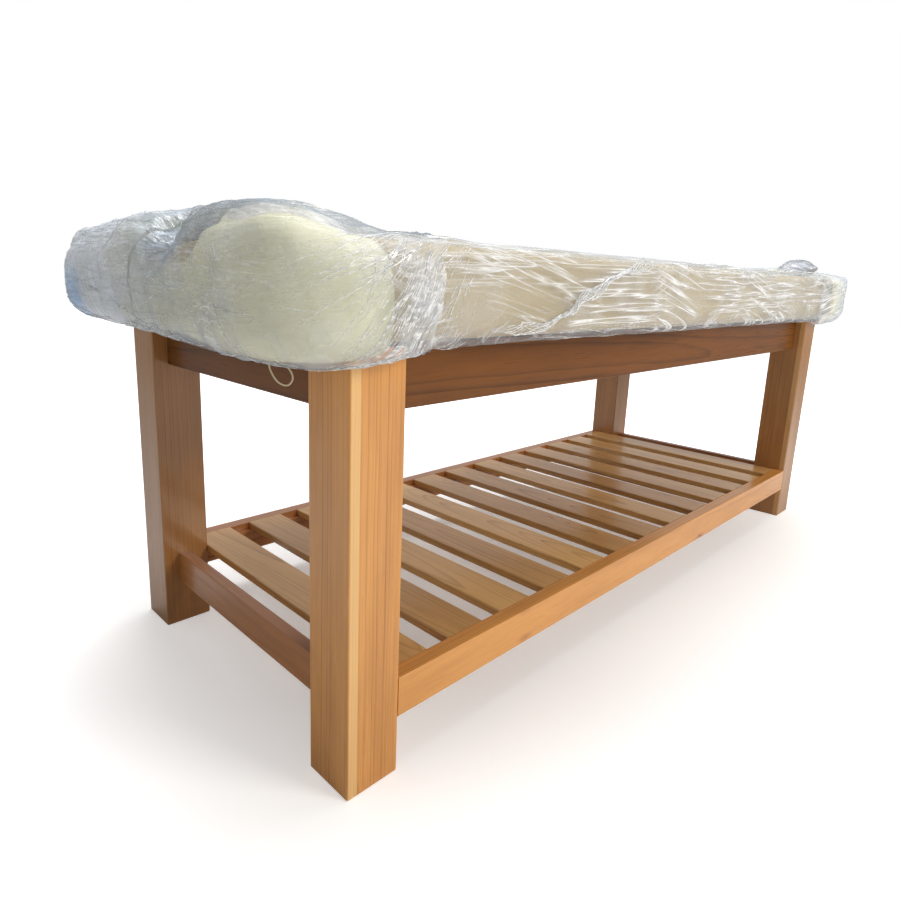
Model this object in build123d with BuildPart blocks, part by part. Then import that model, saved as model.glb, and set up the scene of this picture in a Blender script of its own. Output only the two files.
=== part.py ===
import os
from math import pi, radians, tan

from build123d import *

# Wooden massage bed with a slatted shelf and a loose mattress wrapped in clear stretch film.
# Millimetres. Origin on the floor under the middle of the frame, +Z up, head end at -X.

# Frame
frame_length = 1800
frame_width = 690
deck_height = 620
leg_width = 90
leg_ease = 3
board_ease = 1.5
joint_gap = 0.1

# Lower rails, the side pair flush with the legs and the end pair set back
rail_bottom = 88
rail_height = 62
side_rail_thickness = 28
end_rail_thickness = 22
end_rail_setback = 30

# Aprons under the deck
apron_height = 88
apron_thickness = 28
apron_setback = 28

# Tenons of rails and aprons in the legs
tenon_length = 40
tenon_thickness = 12
tenon_shoulder = 10

# Slatted shelf
slat_count = 13
slat_width = 82
slat_thickness = 15
slat_play = 0.5
shelf_ledger_thickness = 12

# Deck under the mattress
deck_panel_thickness = 12
deck_panel_play = 1
deck_ledger_width = 20
deck_ledger_height = 40
bearer_count = 3
bearer_width = 45

# Countersunk screws that hold the ledgers
screw_count = 3
screw_head_diameter = 8
screw_head_depth = 3
screw_shank_diameter = 4
screw_point_length = 14
screw_play = 0.15
screw_end_distance = 60

# Stretch film
film_skin = 0.6
film_play = 0.4
waist_head_gap = 29
waist_foot_reach = 205

# Mattress
mattress_end_overhang = 105
mattress_side_overhang = 31
mattress_thickness = 138
mattress_crown = 9
mattress_corner = 32
mattress_edge = 22
cover_wall = 1.2
core_play = 0.3
soft_play = 0.4

# Foam caps round both mattress ends
cap_wall = 16
cap_corner = 42
cap_edge = 18
cap_drop = 15
cap_top_drop = 20
cap_head_reach = 145
cap_foot_reach = 148
frame_play = 5

# Raised head cushion with its face notch
bolster_length = 272
bolster_rise = 45
arch_over = 6
bolster_side_inset = 6
bolster_front_rise = 8
bolster_back_rise = 6
bolster_front_corner = 60
bolster_back_corner = 125
notch_mouth = 190
notch_throat = 130
notch_depth = 125
notch_corner = 50
corner_share = .31

# Film over the caps: how far it stands proud of the mattress, and its own roundings
hood_end_proud = 20
hood_side_proud = 29
hood_drop = 18
hood_shoulder_reach = 155
hood_edge_rise = 4
hood_nose_rise = 12
hood_crown_play = 2.5
hood_waist_play = 3
hood_edge = 24
hood_corner = 50
foot_hood_rise = 18
foot_nose_rise = 4

# String loop caught under the film
loop_diameter = 2.2
loop_overhang = 50
loop_side = 100
loop_tail = 2.2
loop_turn_x = 0.7163
loop_turn_y = -0.6978
loop_run_share = 0.25

frame_half = frame_length / 2
width_half = frame_width / 2
leg_inner_x = frame_half - leg_width
leg_inner_y = width_half - leg_width
rail_top = rail_bottom + rail_height
apron_bottom = deck_height - apron_height
os.makedirs("parts", exist_ok=True)


def keep(part, name):
    """Label a finished piece and write it as its own file."""
    part.label = name
    export_step(part, f"parts/{name}.step")
    print(name, "solids", len(part.solids()), "faces", len(part.faces()))


def block(sketch_plane, x_low, x_high, y_low, y_high, height):
    """Square-edged block given by its plan corners on a plane."""
    with BuildPart() as made:
        with BuildSketch(sketch_plane):
            with Locations(((x_low + x_high) / 2, (y_low + y_high) / 2)):
                Rectangle(x_high - x_low, y_high - y_low)
        extrude(amount=height)
    return made.part


# Tenons, each named by the centre line of its rail and the band of height it takes

side_rail_line = width_half - side_rail_thickness / 2
end_rail_line = frame_half - end_rail_setback - end_rail_thickness / 2
side_apron_line = width_half - apron_setback - apron_thickness / 2
end_apron_line = frame_half - apron_setback - apron_thickness / 2
rail_band = (rail_bottom + tenon_shoulder, rail_top - tenon_shoulder)
apron_band = (apron_bottom + tenon_shoulder, deck_height - tenon_shoulder)


def lengthwise_tenons(line_y, band, slack):
    """Tenon blocks at both ends of a rail that runs along X."""
    reach = leg_inner_x + tenon_length + slack
    half = tenon_thickness / 2 + slack
    height = band[1] - band[0] + slack * 2
    level = Plane.XY.offset(band[0] - slack)
    return block(level, -reach, reach, line_y - half, line_y + half, height)


def crosswise_tenons(line_x, band, slack):
    """Tenon blocks at both ends of a rail that runs along Y."""
    reach = leg_inner_y + tenon_length + slack
    half = tenon_thickness / 2 + slack
    height = band[1] - band[0] + slack * 2
    level = Plane.XY.offset(band[0] - slack)
    return block(level, line_x - half, line_x + half, -reach, reach, height)


# Legs

leg_places = {
    "leg_head_near": (-1, -1),
    "leg_head_far": (-1, 1),
    "leg_foot_near": (1, -1),
    "leg_foot_far": (1, 1),
}

for leg_name, (end, side) in leg_places.items():
    leg_x = end * (frame_half - leg_width / 2)
    leg_y = side * (width_half - leg_width / 2)
    with BuildPart() as leg:
        with BuildSketch(Plane.XY):
            with Locations((leg_x, leg_y)):
                Rectangle(leg_width, leg_width)
        extrude(amount=deck_height)
        fillet(leg.edges().filter_by(Axis.Z), radius=leg_ease)
        chamfer(leg.faces().sort_by(Axis.Z)[0].edges(), length=board_ease)
        add(lengthwise_tenons(side * side_rail_line, rail_band, joint_gap), mode=Mode.SUBTRACT)
        add(crosswise_tenons(end * end_rail_line, rail_band, joint_gap), mode=Mode.SUBTRACT)
        add(lengthwise_tenons(side * side_apron_line, apron_band, joint_gap), mode=Mode.SUBTRACT)
        add(crosswise_tenons(end * end_apron_line, apron_band, joint_gap), mode=Mode.SUBTRACT)
    keep(leg.part, leg_name)


# Rails and aprons: a board between the legs with a tenon at each end

def screw_places(span):
    """Places along a ledger, evenly spaced from one end distance to the other."""
    first = -span / 2 + screw_end_distance
    step = (span - screw_end_distance * 2) / (screw_count - 1)
    return [first + step * index for index in range(screw_count)]


def screw_row(seat_y, side, level, ledger_span, slack):
    """A row of screws driven outwards from the inner face of a ledger."""
    outward = Plane(origin=(0, seat_y, level), x_dir=(1, 0, 0), z_dir=(0, side, 0))
    head_radius = screw_head_diameter / 2 + slack
    shank_radius = screw_shank_diameter / 2 + slack
    with BuildPart() as row:
        for place in screw_places(ledger_span):
            with BuildSketch(outward):
                with Locations((place, 0)):
                    Circle(head_radius)
            with BuildSketch(outward.offset(screw_head_depth)):
                with Locations((place, 0)):
                    Circle(shank_radius)
            loft()
            with BuildSketch(outward.offset(screw_head_depth)):
                with Locations((place, 0)):
                    Circle(shank_radius)
            extrude(amount=shelf_ledger_thickness - screw_head_depth + screw_point_length + slack)
    return row.part


def board_along_x(inner, thickness, side, bottom, height, tenon):
    """Board between the legs along X, eased on its long edges, with its tenons."""
    low, high = sorted((side * inner, side * (inner + thickness)))
    with BuildPart() as board:
        add(block(Plane.XY.offset(bottom), -leg_inner_x, leg_inner_x, low, high, height))
        fillet(board.edges().filter_by(Axis.X), radius=board_ease)
        add(tenon)
    return board.part


def board_along_y(inner, thickness, end, bottom, height, tenon):
    """Board between the legs along Y, eased on its long edges, with its tenons."""
    low, high = sorted((end * inner, end * (inner + thickness)))
    with BuildPart() as board:
        add(block(Plane.XY.offset(bottom), low, high, -leg_inner_y, leg_inner_y, height))
        fillet(board.edges().filter_by(Axis.Y), radius=board_ease)
        add(tenon)
    return board.part


side_rail_inner = width_half - side_rail_thickness
end_rail_inner = frame_half - end_rail_setback - end_rail_thickness
side_apron_inner = width_half - apron_setback - apron_thickness
end_apron_inner = frame_half - apron_setback - apron_thickness
slat_bottom = rail_top - slat_thickness
shelf_ledger_inner = side_rail_inner - shelf_ledger_thickness
shelf_ledger_height = slat_bottom - rail_bottom
shelf_screw_level = rail_bottom + shelf_ledger_height / 2
deck_panel_bottom = deck_height - deck_panel_thickness
deck_ledger_bottom = deck_panel_bottom - deck_ledger_height
deck_ledger_inner = side_apron_inner - deck_ledger_width
ledger_span = leg_inner_x * 2

for side_name, side in (("near", -1), ("far", 1)):
    rail_tenons = lengthwise_tenons(side * side_rail_line, rail_band, 0)
    apron_tenons = lengthwise_tenons(side * side_apron_line, apron_band, 0)
    screws_clear = screw_row(side * shelf_ledger_inner, side, shelf_screw_level, ledger_span, screw_play)
    with BuildPart() as side_rail:
        add(board_along_x(side_rail_inner, side_rail_thickness, side, rail_bottom, rail_height, rail_tenons))
        add(screws_clear, mode=Mode.SUBTRACT)
    keep(side_rail.part, f"side_rail_{side_name}")
    with BuildPart() as shelf_ledger:
        low, high = sorted((side * shelf_ledger_inner, side * side_rail_inner))
        add(block(Plane.XY.offset(rail_bottom), -leg_inner_x, leg_inner_x, low, high, shelf_ledger_height))
        add(screws_clear, mode=Mode.SUBTRACT)
    keep(shelf_ledger.part, f"shelf_ledger_{side_name}")
    side_apron = board_along_x(
        side_apron_inner, apron_thickness, side, apron_bottom, apron_height, apron_tenons
    )
    keep(side_apron, f"side_apron_{side_name}")

for end_name, end in (("head", -1), ("foot", 1)):
    rail_tenons = crosswise_tenons(end * end_rail_line, rail_band, 0)
    apron_tenons = crosswise_tenons(end * end_apron_line, apron_band, 0)
    end_rail = board_along_y(
        end_rail_inner, end_rail_thickness, end, rail_bottom, rail_height, rail_tenons
    )
    keep(end_rail, f"end_rail_{end_name}")
    end_apron = board_along_y(
        end_apron_inner, apron_thickness, end, apron_bottom, apron_height, apron_tenons
    )
    keep(end_apron, f"end_apron_{end_name}")

with BuildPart() as shelf_screws:
    for side in (-1, 1):
        add(screw_row(side * shelf_ledger_inner, side, shelf_screw_level, ledger_span, 0))
keep(shelf_screws.part, "shelf_screws")


# Shelf slats, spread evenly between the legs

slat_first = -leg_inner_x + slat_play + slat_width / 2
slat_pitch = -slat_first * 2 / (slat_count - 1)
slat_reach = side_rail_inner - slat_play

for index in range(slat_count):
    slat_x = slat_first + slat_pitch * index
    slat_low = slat_x - slat_width / 2
    slat_high = slat_x + slat_width / 2
    with BuildPart() as slat:
        add(block(Plane.XY.offset(slat_bottom), slat_low, slat_high, -slat_reach, slat_reach, slat_thickness))
        chamfer(slat.edges().filter_by(Axis.Y), length=board_ease)
    keep(slat.part, f"shelf_slat_{index + 1:02d}")


# Deck: ledgers inside the aprons, cross bearers half-lapped into them, and the panel

bearer_step = ledger_span / (bearer_count + 1)
bearer_places = [bearer_step * (index + 1) - leg_inner_x for index in range(bearer_count)]
lap_level = deck_ledger_bottom + deck_ledger_height / 2

for side_name, side in (("near", -1), ("far", 1)):
    low, high = sorted((side * deck_ledger_inner, side * side_apron_inner))
    with BuildPart() as deck_ledger:
        add(block(
            Plane.XY.offset(deck_ledger_bottom), -leg_inner_x, leg_inner_x, low, high, deck_ledger_height
        ))
        for place in bearer_places:
            notch_half = bearer_width / 2 + joint_gap
            add(
                block(Plane.XY.offset(lap_level), place - notch_half, place + notch_half, low, high,
                      deck_ledger_height),
                mode=Mode.SUBTRACT,
            )
    keep(deck_ledger.part, f"deck_ledger_{side_name}")

for end_name, end in (("head", -1), ("foot", 1)):
    low, high = sorted((end * (end_apron_inner - deck_ledger_width), end * end_apron_inner))
    end_ledger = block(
        Plane.XY.offset(deck_ledger_bottom), low, high, -leg_inner_y, leg_inner_y, deck_ledger_height
    )
    keep(end_ledger, f"deck_end_ledger_{end_name}")

for index, place in enumerate(bearer_places):
    bearer_low = place - bearer_width / 2
    bearer_high = place + bearer_width / 2
    with BuildPart() as bearer:
        add(block(
            Plane.XY.offset(lap_level), bearer_low, bearer_high, -side_apron_inner, side_apron_inner,
            deck_panel_bottom - lap_level,
        ))
        add(block(
            Plane.XY.offset(deck_ledger_bottom), bearer_low, bearer_high,
            joint_gap - deck_ledger_inner, deck_ledger_inner - joint_gap, deck_ledger_height / 2,
        ))
    keep(bearer.part, f"deck_bearer_{index + 1}")

with BuildPart() as deck_panel:
    with BuildSketch(Plane.XY.offset(deck_panel_bottom)):
        Rectangle((end_apron_inner - deck_panel_play) * 2, (leg_inner_y - deck_panel_play) * 2)
        Rectangle((leg_inner_x - deck_panel_play) * 2, (side_apron_inner - deck_panel_play) * 2)
    extrude(amount=deck_panel_thickness)
keep(deck_panel.part, "deck_panel")


# Mattress: a boxed pad with a crowned top and rounded edges

mattress_bottom = deck_height + film_skin + film_play
mattress_top = mattress_bottom + mattress_thickness
mattress_half = frame_half + mattress_end_overhang
mattress_side = width_half + mattress_side_overhang


def pad_profile(half_width, bottom, edge_top, crown_top):
    """Cross section of a pad: flat underneath, upright sides and an arched top."""
    with BuildSketch(Plane.XY) as profile:
        with BuildLine():
            Line((-half_width, bottom), (half_width, bottom))
            Line((half_width, bottom), (half_width, edge_top))
            ThreePointArc((half_width, edge_top), (0, crown_top), (-half_width, edge_top))
            Line((-half_width, edge_top), (-half_width, bottom))
        make_face()
    return profile.sketch


def pad_block(inset):
    """Mattress outline with square rims, drawn inside its outer surface by an inset."""
    half_x = mattress_half - inset
    bottom = mattress_bottom + inset
    top = mattress_top - inset
    with BuildPart() as form:
        with BuildSketch(Plane.YZ.offset(-half_x)):
            add(pad_profile(mattress_side - inset, bottom, top - mattress_crown, top))
        extrude(amount=half_x * 2)
        fillet(form.edges().filter_by(Axis.Z), radius=mattress_corner - inset)
    return form.part


def rims(form):
    """Top rim and bottom rim of a pad."""
    levels = form.faces().sort_by(Axis.Z)
    return levels[-1].edges(), levels[0].edges()


def pad_core(inset):
    """Mattress outline with chamfered rims, cut from slab foam."""
    with BuildPart() as form:
        add(pad_block(inset))
        for rim in rims(form):
            chamfer(rim, length=mattress_edge - inset)
    return form.part


with BuildPart() as mattress_cover:
    add(pad_block(0))
    top_rim, bottom_rim = rims(mattress_cover)
    fillet(top_rim, radius=mattress_edge)
    chamfer(bottom_rim, length=mattress_edge)
    add(pad_core(cover_wall), mode=Mode.SUBTRACT)
keep(mattress_cover.part, "mattress_cover")
keep(pad_core(cover_wall + core_play), "mattress_core")


# Wrapped ends, drawn at the foot and mirrored for the head

lip_start = frame_half + frame_play
sleeve_side = mattress_side + film_play + film_skin
sleeve_top = mattress_top + film_play + film_skin
sleeve_edge = mattress_edge + film_play + film_skin
hood_shoulder = mattress_half - hood_shoulder_reach


def soft_plan(corners):
    """Closed outline whose corners (x, y, reach) are drawn as arcs a little flatter than a full round."""
    count = len(corners)
    points = [Vector(x, y) for x, y, reach in corners]
    starts, middles, ends = [], [], []
    for index in range(count):
        reach = corners[index][2]
        back = (points[index - 1] - points[index]).normalized() * reach
        onward = (points[(index + 1) % count] - points[index]).normalized() * reach
        starts.append(points[index] + back)
        middles.append(points[index] + (back + onward) * corner_share)
        ends.append(points[index] + onward)
    with BuildSketch(Plane.XY) as outline:
        with BuildLine():
            for index in range(count):
                if corners[index][2]:
                    ThreePointArc(starts[index], middles[index], ends[index])
                Line(ends[index], starts[(index + 1) % count])
        make_face()
    return outline.sketch


def wrapped_end(outer, waist, inset):
    """End of the bundle from its waist outwards, drawn inside its skin by an inset."""
    front = outer["front"] - inset
    side = outer["side"] - inset
    bottom = outer["bottom"] + inset
    floor_level = deck_height + inset
    edge_top = outer["edge_top"] - inset
    crown_top = outer["crown_top"] - inset
    nose_top = outer["nose_top"] - inset
    waist_top = outer["waist_top"] - inset
    middle = (waist + front) / 2
    with BuildPart() as form:
        with BuildSketch(Plane.YZ.offset(waist)) as section:
            add(pad_profile(side, bottom, edge_top, crown_top + arch_over))
            fillet(section.vertices(), radius=outer["edge"] - inset)
        extrude(amount=front - waist)
        with BuildSketch(Plane.XY) as plan:
            with BuildLine():
                Polyline(
                    (waist, sleeve_side - inset), (hood_shoulder, side), (front, side),
                    (front, -side), (hood_shoulder, -side), (waist, inset - sleeve_side), close=True,
                )
            make_face()
            fillet(plan.vertices().group_by(Axis.X)[-1], radius=outer["corner"] - inset)
        extrude(amount=crown_top * 2, mode=Mode.INTERSECT)
        with BuildSketch(Plane.XZ.offset(-side)) as profile:
            with BuildLine():
                Polyline(
                    (waist, waist_top), (waist, floor_level), (lip_start - frame_play / 2, floor_level),
                    (lip_start, bottom), (front, bottom), (front, nose_top),
                )
                ThreePointArc((front, nose_top), (middle, crown_top), (waist, waist_top))
            make_face()
            fillet(profile.vertices().group_by(Axis.X)[-1], radius=outer["edge"] - inset)
        extrude(amount=side * 2, mode=Mode.INTERSECT)
    return form.part


def place_end(part, end):
    """The wrapped end as drawn for the foot, mirrored for the head."""
    return part if end > 0 else mirror(part, about=Plane.YZ)


# Foam caps round the mattress ends: end wall, side walls and a lip underneath past the frame

cap_bottom = mattress_bottom - cap_drop
cap_top = mattress_top - cap_top_drop
cap_side = mattress_side + cap_wall
cap_end = mattress_half + cap_wall
for end_name, end, reach in (("head", -1, cap_head_reach), ("foot", 1, cap_foot_reach)):
    waist = mattress_half - reach
    with BuildPart() as foam_cap:
        with BuildSketch(Plane.XY.offset(cap_bottom)) as plan:
            with Locations(((waist + cap_end) / 2, 0)):
                Rectangle(cap_end - waist, cap_side * 2)
            fillet(plan.vertices().group_by(Axis.X)[-1], radius=cap_corner)
        extrude(amount=cap_top - cap_bottom)
        lower_rim = foam_cap.faces().sort_by(Axis.Z)[0].edges()
        chamfer(lower_rim.sort_by(Axis.X)[1:], length=cap_edge)
        add(block(Plane.XY, 0, lip_start, -cap_side, cap_side, mattress_bottom), mode=Mode.SUBTRACT)
        add(pad_block(-soft_play), mode=Mode.SUBTRACT)
    keep(place_end(foam_cap.part, end), f"{end_name}_foam_cap")


# Head cushion: a full-width crowned cushion over the mattress head, with a notch for the face

bolster_front = -cap_end
bolster_back = bolster_front + bolster_length
bolster_top = mattress_top + bolster_rise
bolster_side = mattress_side - bolster_side_inset
bolster_middle = bolster_front + bolster_length / 2
bolster_floor = cap_top + soft_play
notch_end = bolster_front + notch_depth

with BuildPart() as head_cushion:
    with BuildSketch(Plane.XY.offset(bolster_floor)):
        add(soft_plan([
            (bolster_front, -bolster_side, bolster_front_corner),
            (bolster_back, -bolster_side, bolster_back_corner),
            (bolster_back, bolster_side, bolster_back_corner),
            (bolster_front, bolster_side, bolster_front_corner),
        ]))
    extrude(amount=bolster_top - bolster_floor)
    with BuildSketch(Plane.YZ.offset(bolster_front)):
        add(pad_profile(bolster_side, bolster_floor, mattress_top, bolster_top + arch_over))
    extrude(amount=bolster_length, mode=Mode.INTERSECT)
    with BuildSketch(Plane.XZ.offset(-bolster_side)):
        with BuildLine():
            Polyline(
                (bolster_back, mattress_top + bolster_back_rise), (bolster_back, bolster_floor),
                (bolster_front, bolster_floor), (bolster_front, mattress_top + bolster_front_rise),
            )
            ThreePointArc(
                (bolster_front, mattress_top + bolster_front_rise),
                (bolster_middle, bolster_top),
                (bolster_back, mattress_top + bolster_back_rise),
            )
        make_face()
    extrude(amount=bolster_side * 2, mode=Mode.INTERSECT)
    with BuildSketch(Plane.XY.offset(bolster_floor)):
        add(soft_plan([
            (bolster_front, -notch_mouth / 2, 0), (notch_end, -notch_throat / 2, notch_corner),
            (notch_end, notch_throat / 2, notch_corner), (bolster_front, notch_mouth / 2, 0),
        ]))
    extrude(amount=bolster_top - bolster_floor, mode=Mode.SUBTRACT)
    with BuildSketch(Plane.YZ.offset(-mattress_half - soft_play)):
        clear_top = mattress_top + soft_play
        add(pad_profile(mattress_side + soft_play, cap_bottom, clear_top - mattress_crown, clear_top))
    extrude(amount=bolster_length, mode=Mode.SUBTRACT)
keep(head_cushion.part, "head_cushion")


# Stretch film: a sleeve round the middle of the mattress and a hood over each wrapped end

film_front = mattress_half + hood_end_proud
film_side = mattress_side + hood_side_proud
film_bottom = deck_height - hood_drop
sleeve_head = bolster_back + waist_head_gap
sleeve_foot = mattress_half - waist_foot_reach


def film_sleeve(inset):
    """Sleeve round the mattress, drawn inside its outer skin by an inset."""
    top = sleeve_top - inset
    with BuildPart() as sleeve:
        with BuildSketch(Plane.YZ.offset(sleeve_head)) as section:
            add(pad_profile(sleeve_side - inset, deck_height + inset, top - mattress_crown, top))
            fillet(section.vertices(), radius=sleeve_edge - inset)
        extrude(amount=sleeve_foot - sleeve_head)
    return sleeve.part


with BuildPart() as film_body:
    add(film_sleeve(0))
    add(film_sleeve(film_skin), mode=Mode.SUBTRACT)
keep(film_body.part, "film_body")

hood_edge_top = mattress_top - mattress_crown + hood_edge_rise
head_outline = {
    "front": film_front, "side": film_side, "bottom": film_bottom, "edge_top": hood_edge_top,
    "crown_top": bolster_top + hood_crown_play, "nose_top": mattress_top + hood_nose_rise,
    "waist_top": sleeve_top + hood_waist_play, "edge": hood_edge, "corner": hood_corner,
}
foot_outline = dict(
    head_outline, edge_top=mattress_top - mattress_crown, crown_top=mattress_top + foot_hood_rise,
    nose_top=mattress_top + foot_nose_rise, waist_top=sleeve_top,
)

for end_name, end, outline, waist in (
    ("head", -1, head_outline, -sleeve_head),
    ("foot", 1, foot_outline, sleeve_foot),
):
    with BuildPart() as film_hood:
        add(wrapped_end(outline, waist, 0))
        add(wrapped_end(outline, waist, film_skin), mode=Mode.SUBTRACT)
    keep(place_end(film_hood.part, end), f"film_{end_name}")


# String loop hanging from under the head end, caught between the film and the foam

loop_across = Vector(loop_turn_x, loop_turn_y, 0).normalized()
loop_plane = Plane(
    origin=(-frame_half - loop_overhang, loop_side - width_half, film_bottom),
    x_dir=loop_across,
    z_dir=loop_across.cross(Vector(0, 0, 1)),
)
loop_route = [
    (0, loop_tail),
    (11, -30),
    (25, -34),
    (31, -24),
    (12, loop_tail),
]


def bend_radii(route, run_share):
    """Radius at each inner point: a share of the shorter run over the tangent of half the turn."""
    points = [Vector(*point, 0) for point in route]
    runs = [after - before for before, after in zip(points, points[1:])]
    radii = []
    for before, after in zip(runs, runs[1:]):
        half_turn = radians(before.get_angle(after)) / 2
        radii.append(run_share * min(before.length, after.length) / tan(half_turn))
    return radii


loop_radii = bend_radii(loop_route, loop_run_share)
print("loop bend radii", [round(radius, 1) for radius in loop_radii])

with BuildPart() as tie_loop:
    with BuildLine(loop_plane) as loop_line:
        loop_path = FilletPolyline(*loop_route, radius=loop_radii)
    with BuildSketch(loop_path ^ 0):
        Circle(loop_diameter / 2)
    sweep(path=loop_path)
loop_length = sum(edge.length for edge in loop_line.edges())
loop_section = pi * loop_diameter ** 2 / 4
print("loop length", round(loop_length, 1))
print("loop volume over section times length", round(tie_loop.part.volume / loop_section / loop_length, 4))
keep(tie_loop.part, "tie_loop")
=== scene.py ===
"""Dresses the wooden massage bed: larch boards, foam and leather pads, and the stretch film round them."""

import math
from contextlib import contextmanager

import bmesh
import bpy
import numpy as np
from mathutils import Matrix, Vector
from mathutils.bvhtree import BVHTree


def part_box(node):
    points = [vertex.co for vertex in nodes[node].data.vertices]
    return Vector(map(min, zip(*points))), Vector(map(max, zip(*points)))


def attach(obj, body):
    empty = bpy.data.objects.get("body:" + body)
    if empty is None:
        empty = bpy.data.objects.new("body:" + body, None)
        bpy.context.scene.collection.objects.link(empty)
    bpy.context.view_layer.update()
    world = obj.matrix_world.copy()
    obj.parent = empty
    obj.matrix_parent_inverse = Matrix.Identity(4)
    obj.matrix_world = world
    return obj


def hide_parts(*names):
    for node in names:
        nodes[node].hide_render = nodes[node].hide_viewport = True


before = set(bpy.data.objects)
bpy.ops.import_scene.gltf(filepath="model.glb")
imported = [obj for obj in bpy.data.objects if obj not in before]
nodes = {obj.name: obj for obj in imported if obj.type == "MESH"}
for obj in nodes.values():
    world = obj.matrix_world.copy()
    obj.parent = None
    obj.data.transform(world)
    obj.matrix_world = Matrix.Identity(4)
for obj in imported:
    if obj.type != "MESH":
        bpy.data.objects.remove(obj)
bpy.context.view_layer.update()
scene = bpy.context.scene


# Camera: metres and radians in the row frame

CAMERA_PLACE = Vector((-1.35147, -0.93792, 0.70226))
CAMERA_YAW = 0.79868
CAMERA_PITCH = -0.20880
CAMERA_ROLL = 0.03259
CAMERA_LENS = 25.407
CAMERA_SHIFT_X = 0.02697
CAMERA_SHIFT_Y = -0.03875


def make_camera():
    """Camera at the photograph's viewing angle."""
    flat = math.cos(CAMERA_PITCH)
    ahead = Vector((math.cos(CAMERA_YAW) * flat, math.sin(CAMERA_YAW) * flat, math.sin(CAMERA_PITCH)))
    level = Vector((math.sin(CAMERA_YAW), -math.cos(CAMERA_YAW), 0))
    upright = level.cross(ahead)
    side = level * math.cos(CAMERA_ROLL) + upright * math.sin(CAMERA_ROLL)
    top = upright * math.cos(CAMERA_ROLL) - level * math.sin(CAMERA_ROLL)
    camera = bpy.data.objects.new("camera", bpy.data.cameras.new("camera"))
    camera.data.lens = CAMERA_LENS
    camera.data.shift_x = CAMERA_SHIFT_X
    camera.data.shift_y = CAMERA_SHIFT_Y
    turn = Matrix((side, top, -ahead)).transposed().to_4x4()
    camera.matrix_world = Matrix.Translation(CAMERA_PLACE) @ turn
    scene.collection.objects.link(camera)
    scene.camera = camera


make_camera()


# Node helpers

class Web:
    """Short forms for adding nodes to a tree."""

    def __init__(self, tree):
        self.tree = tree

    def fill(self, item, links):
        """Links each input, by name or in order, to a socket, or sets it to a value."""
        for name, value in links.items() if isinstance(links, dict) else enumerate(links):
            if isinstance(value, bpy.types.NodeSocket):
                self.tree.links.new(value, item.inputs[name])
            else:
                item.inputs[name].default_value = value

    def add(self, kind, links=(), **settings):
        """A node with its settings and inputs."""
        item = self.tree.nodes.new(kind)
        for name, value in settings.items():
            setattr(item, name, value)
        self.fill(item, links)
        return item

    def math(self, operation, *values, clamp=False):
        """Output of a math node."""
        return self.add("ShaderNodeMath", values, operation=operation, use_clamp=clamp).outputs[0]

    def times(self, first, second):
        """Product of two values."""
        return self.math("MULTIPLY", first, second)

    def plus(self, first, second, clamp=False):
        """Sum of two values."""
        return self.math("ADD", first, second, clamp=clamp)

    def less(self, first, second):
        """Difference of two values."""
        return self.math("SUBTRACT", first, second)

    def vector(self, operation, *values):
        """Output of a vector math node."""
        item = self.add("ShaderNodeVectorMath", values, operation=operation)
        return item.outputs["Value" if operation in ("DOT_PRODUCT", "DISTANCE", "LENGTH") else "Vector"]

    def split(self, vector):
        """The three parts of a vector."""
        return self.add("ShaderNodeSeparateXYZ", (vector,)).outputs

    def join(self, *parts):
        """A vector from three parts."""
        return self.add("ShaderNodeCombineXYZ", parts).outputs[0]

    def ramp(self, value, low, high, to_low=0.0, to_high=1.0):
        """A value mapped smoothly from one range to another."""
        links = {"Value": value, "From Min": low, "From Max": high, "To Min": to_low, "To Max": to_high}
        return self.add("ShaderNodeMapRange", links, interpolation_type="SMOOTHSTEP").outputs[0]

    def blend(self, factor, first, second):
        """Mix of two colours."""
        return self.add("ShaderNodeMix", {0: factor, 6: first, 7: second}, data_type="RGBA").outputs[2]

    def noise(self, place, scale, detail=2.0, roughness=0.5, distortion=0.0):
        """Noise from 0 to 1, with one scale or a scale for each axis."""
        if isinstance(scale, tuple):
            place, scale = self.vector("MULTIPLY", place, scale), 1.0
        return self.add("ShaderNodeTexNoise", {
            "Vector": place, "Scale": scale, "Detail": detail, "Roughness": roughness, "Distortion": distortion,
        }).outputs["Fac"]


class Look(Web):
    """A material with its Principled shader and the place of each point."""

    def __init__(self, name):
        self.material = bpy.data.materials.new(name)
        self.material.use_nodes = True
        super().__init__(self.material.node_tree)
        self.shader = self.tree.nodes["Principled BSDF"]
        self.place = self.add("ShaderNodeTexCoord").outputs["Object"]

    def finish(self, inputs, height=None, strength=0.0, distance=0.0):
        """Links or sets the shader's inputs, and adds a bump from a height."""
        self.fill(self.shader, inputs)
        if height:
            links = {"Height": height, "Strength": strength, "Distance": distance}
            self.fill(self.shader, {"Normal": self.add("ShaderNodeBump", links).outputs[0]})
        return self.material


FLOAT, COLOUR, VECTOR = "NodeSocketFloat", "NodeSocketColor", "NodeSocketVector"


def new_group(name, inputs, outputs):
    """A shader node group; an input is a socket type, or the default of a number."""
    tree = bpy.data.node_groups.new(name, "ShaderNodeTree")
    for label, kind in inputs.items():
        is_number = isinstance(kind, float)
        socket = tree.interface.new_socket(name=label, in_out="INPUT", socket_type=FLOAT if is_number else kind)
        if is_number:
            socket.default_value = kind
    for label, kind in outputs.items():
        tree.interface.new_socket(name=label, in_out="OUTPUT", socket_type=kind)
    return Web(tree), tree.nodes.new("NodeGroupInput").outputs, tree.nodes.new("NodeGroupOutput")


def colour(red, green, blue):
    """Linear colour from 0-255 display values."""
    def linear(value):
        share = value / 255
        return share / 12.92 if share <= 0.04045 else ((share + 0.055) / 1.055) ** 2.4
    return (linear(red), linear(green), linear(blue), 1.0)


WHITE = (1.0, 1.0, 1.0, 1.0)
MIDDLE_OF_NOISE = (0.3, 0.7)


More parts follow.
